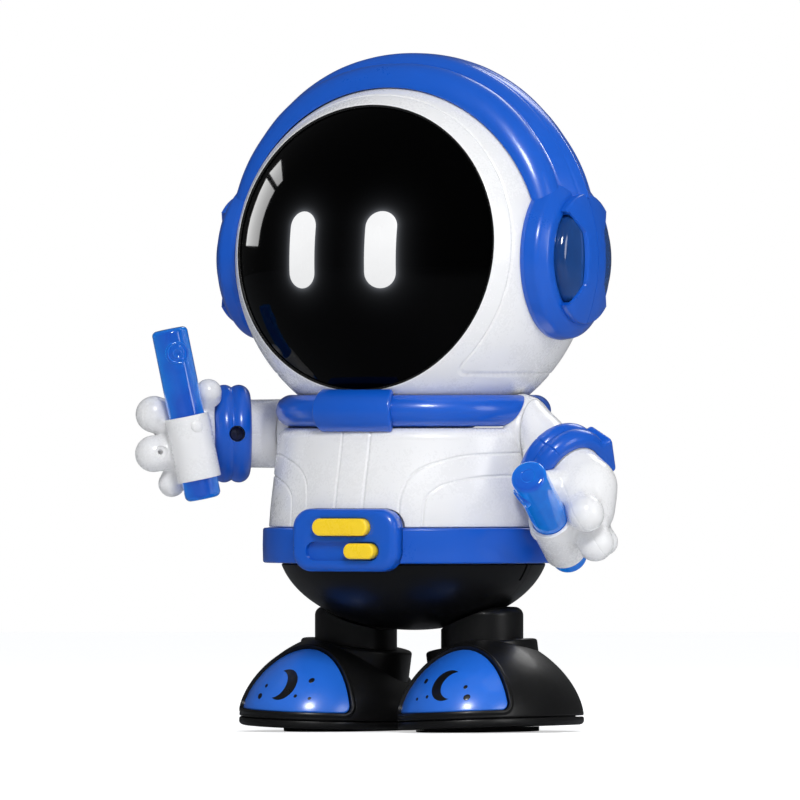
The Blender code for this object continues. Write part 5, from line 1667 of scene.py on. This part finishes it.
# ================================================================== pieces kept from the CAD
KEPT = [(M_NYLON, ("neck_post", "battery_box", "chassis_plate", "drive_gear", "hip_gear_left",
                   "hip_gear_right")),
        (M_BOARD, ("main_board", "head_led_board")),
        (M_STEEL, ("motor", "speaker")),
        (M_BLACK, ("face_panel",))]
for material, names in KEPT:
    for name in names:
        ob = bpy.data.objects.get(name)
        if ob:
            for slot in ob.material_slots:
                slot.link = "OBJECT"
                slot.material = material


# ================================================================== floor and world
def studio_floor():
    k = new_material("studio_floor")
    pale = k.mix(k.noise(scale=6.0, detail=2.0), (0.93, 0.93, 0.935), (0.95, 0.95, 0.95))
    ray = k.node("ShaderNodeLightPath").outputs
    # polished skins mirror a darker floor, as they mirror a darker room
    k.surface({"Base Color": k.mix(ray["Is Glossy Ray"], pale, (0.16, 0.165, 0.175)),
               "Roughness": 0.6, "Specular IOR Level": 0.2, "Emission Color": (1, 1, 1),
               "Emission Strength": k.math("MULTIPLY", ray["Is Camera Ray"], 0.55)})
    a = np.linspace(0, 2 * math.pi, 96, endpoint=False)
    section = ((0.05, -0.004), (3.0, -0.004), (3.0, -0.0001), (0.05, -0.0001))   # metres
    rings = [np.stack([r * np.cos(a), r * np.sin(a), np.full(96, z)], -1) for r, z in section]
    return loft("studio_floor", rings, k.owner, 40)


def studio_world():
    """White to the camera; a soft light, brighter overhead, to everything else."""
    studio = bpy.data.worlds.new("studio")
    bpy.context.scene.world = studio
    studio.use_nodes = True
    studio.node_tree.nodes.clear()
    k = Nodes(studio)
    ray = k.node("ShaderNodeLightPath").outputs
    seen = k.node("ShaderNodeBackground", {0: (1, 1, 1), 1: 1.0})
    height = k.split(k.coords.outputs["Generated"])["Z"]
    sky = k.ramp(height, span=(-0.3, 0.9), to=(0.34, 0.60))
    # polished skins see a darker room than matt ones, so that colours stay deep
    glossy_change, full = -0.88, 1.0
    dim = k.math("MULTIPLY_ADD", ray["Is Glossy Ray"], glossy_change, full)
    ambient = k.node("ShaderNodeBackground", {0: (0.96, 0.98, 1.0),
                                              1: k.math("MULTIPLY", sky, dim)})
    mixed = k.node("ShaderNodeMixShader", {0: ray["Is Camera Ray"], 1: ambient.outputs[0],
                                           2: seen.outputs[0]})
    k.node("ShaderNodeOutputWorld", {0: mixed.outputs[0]})


studio_floor()
studio_world()

# ================================================================== lights
# the camera's own axes in world directions, and the point it looks at in metres
TO_CAM = Vector((math.sin(VIEW), -math.cos(VIEW), 0.0))
RIGHT = Vector((math.cos(VIEW), math.sin(VIEW), 0.0))
UP = Vector((0, 0, 1))
TARGET = Vector((0, AXIS_Y * MM, 0.0993)) - RIGHT * 0.00405


def area(name, towards, distance, width, height, power):
    """A soft oval lamp; towards is (right, up, to the camera), lengths are metres."""
    d = (RIGHT * towards[0] + UP * towards[1] + TO_CAM * towards[2]).normalized()
    lamp = bpy.data.lights.new(name, "AREA")
    lamp.shape, lamp.size, lamp.size_y, lamp.energy = "ELLIPSE", width, height, power
    ob = bpy.data.objects.new(name, lamp)
    bpy.context.scene.collection.objects.link(ob)
    ob.location = TARGET + d * distance
    ob.rotation_euler = (-d).to_track_quat("-Z", "Y").to_euler()
    return ob


key = area("key", towards=(0.10, 0.62, 0.85), distance=1.1, width=0.25, height=0.25, power=5.7)
fill = area("fill_right", towards=(0.95, 0.30, 0.60), distance=1.3, width=0.45, height=0.65,
            power=2.4)
area("rim_back", towards=(0.5, 0.8, -0.9), distance=1.2, width=0.6, height=0.4, power=2.0)


def visor_links(name, state):
    """A light-linking collection that holds only the visor."""
    group = bpy.data.collections.new(name)
    group.objects.link(visor)
    group.collection_objects[0].light_linking.link_state = state
    return group


# the black visor is kept clear of two lamps: it mirrors a window with a glazing bar
unlit = visor_links("kept_clear_of_lamps", "EXCLUDE")
for lamp in (key, fill):
    lamp.light_linking.receiver_collection = unlit
mirror = visor_links("mirrors_the_window", "INCLUDE")

# the camera's axes again, as (left, forward, up)
TO_CAM_BODY = np.array((math.sin(VIEW), math.cos(VIEW), 0.0))
RIGHT_BODY = np.array((math.cos(VIEW), -math.sin(VIEW), 0.0))


def mirrored(across, up, reach):
    """The point at reach along a camera ray after the visor has mirrored it.

    The ray passes across to the right of the body's axis and up above the floor."""
    base = RIGHT_BODY * across + np.array((0, 0, up))
    rel = base - DOME_C
    b = rel @ TO_CAM_BODY
    t = -b + math.sqrt(max(0.0, b * b - rel @ rel + VISOR_DOME_R ** 2))
    hit = base + TO_CAM_BODY * t
    n = (hit - DOME_C) / VISOR_DOME_R
    return hit + (-TO_CAM_BODY + 2 * (TO_CAM_BODY @ n) * n) * reach


def pane(name, left, right, power=9.0):
    """A bright pane, placed where the visor mirrors it between two edges given upwards."""
    k = new_material(name)
    glow = k.mottle(scale=3.0, detail=2.0, to=(power * 0.9, power * 1.1))
    k.surface({"Base Color": (0, 0, 0), "Emission Color": (1, 1, 1), "Emission Strength": glow})
    rows, cols = 25, 7
    at = np.linspace(0, len(left) - 1, rows)
    left, right = (np.stack([np.interp(at, range(len(edge)), values) for values in zip(*edge)],
                            -1) for edge in (left, right))
    grid = left[:, None, :] + (right - left)[:, None, :] * np.linspace(0, 1, cols)[None, :, None]
    points = np.array([[mirrored(x, y, 320.0) for x, y in row] for row in grid])
    ob = make(name, world_points(points), grid_faces(rows, cols), (), k.owner, 0)
    for way in ("camera", "diffuse", "transmission", "volume_scatter", "shadow"):
        setattr(ob, "visible_" + way, False)
    ob.light_linking.receiver_collection = mirror


# edges are (across, up) as the camera sees their reflections
pane("window_pane_low",
     left=[(-50.2, 145.9), (-49.6, 150.5), (-48.75, 154.3), (-47.5, 158.1), (-45.9, 162.2),
           (-43.95, 166.1)],
     right=[(-46.6, 145.6), (-46.0, 149.9), (-45.25, 153.2), (-44.3, 156.3), (-43.0, 159.5),
            (-41.55, 162.2)])
pane("window_pane_high", left=[(-43.08, 167.61), (-39.63, 171.51)],
     right=[(-40.68, 163.53), (-39.15, 165.21)])

# ================================================================== camera
cam = bpy.data.cameras.new("camera")
cam.lens, cam.sensor_width = 1050.0, 36.0
cam.clip_start, cam.clip_end = 0.5, 40
cam_ob = bpy.data.objects.new("camera", cam)
bpy.context.scene.collection.objects.link(cam_ob)
cam_ob.location = TARGET + TO_CAM * 7.0
cam_ob.rotation_euler = (-TO_CAM).to_track_quat("-Z", "Y").to_euler()
bpy.context.scene.camera = cam_ob
bpy.context.scene.view_settings.view_transform = "Standard"
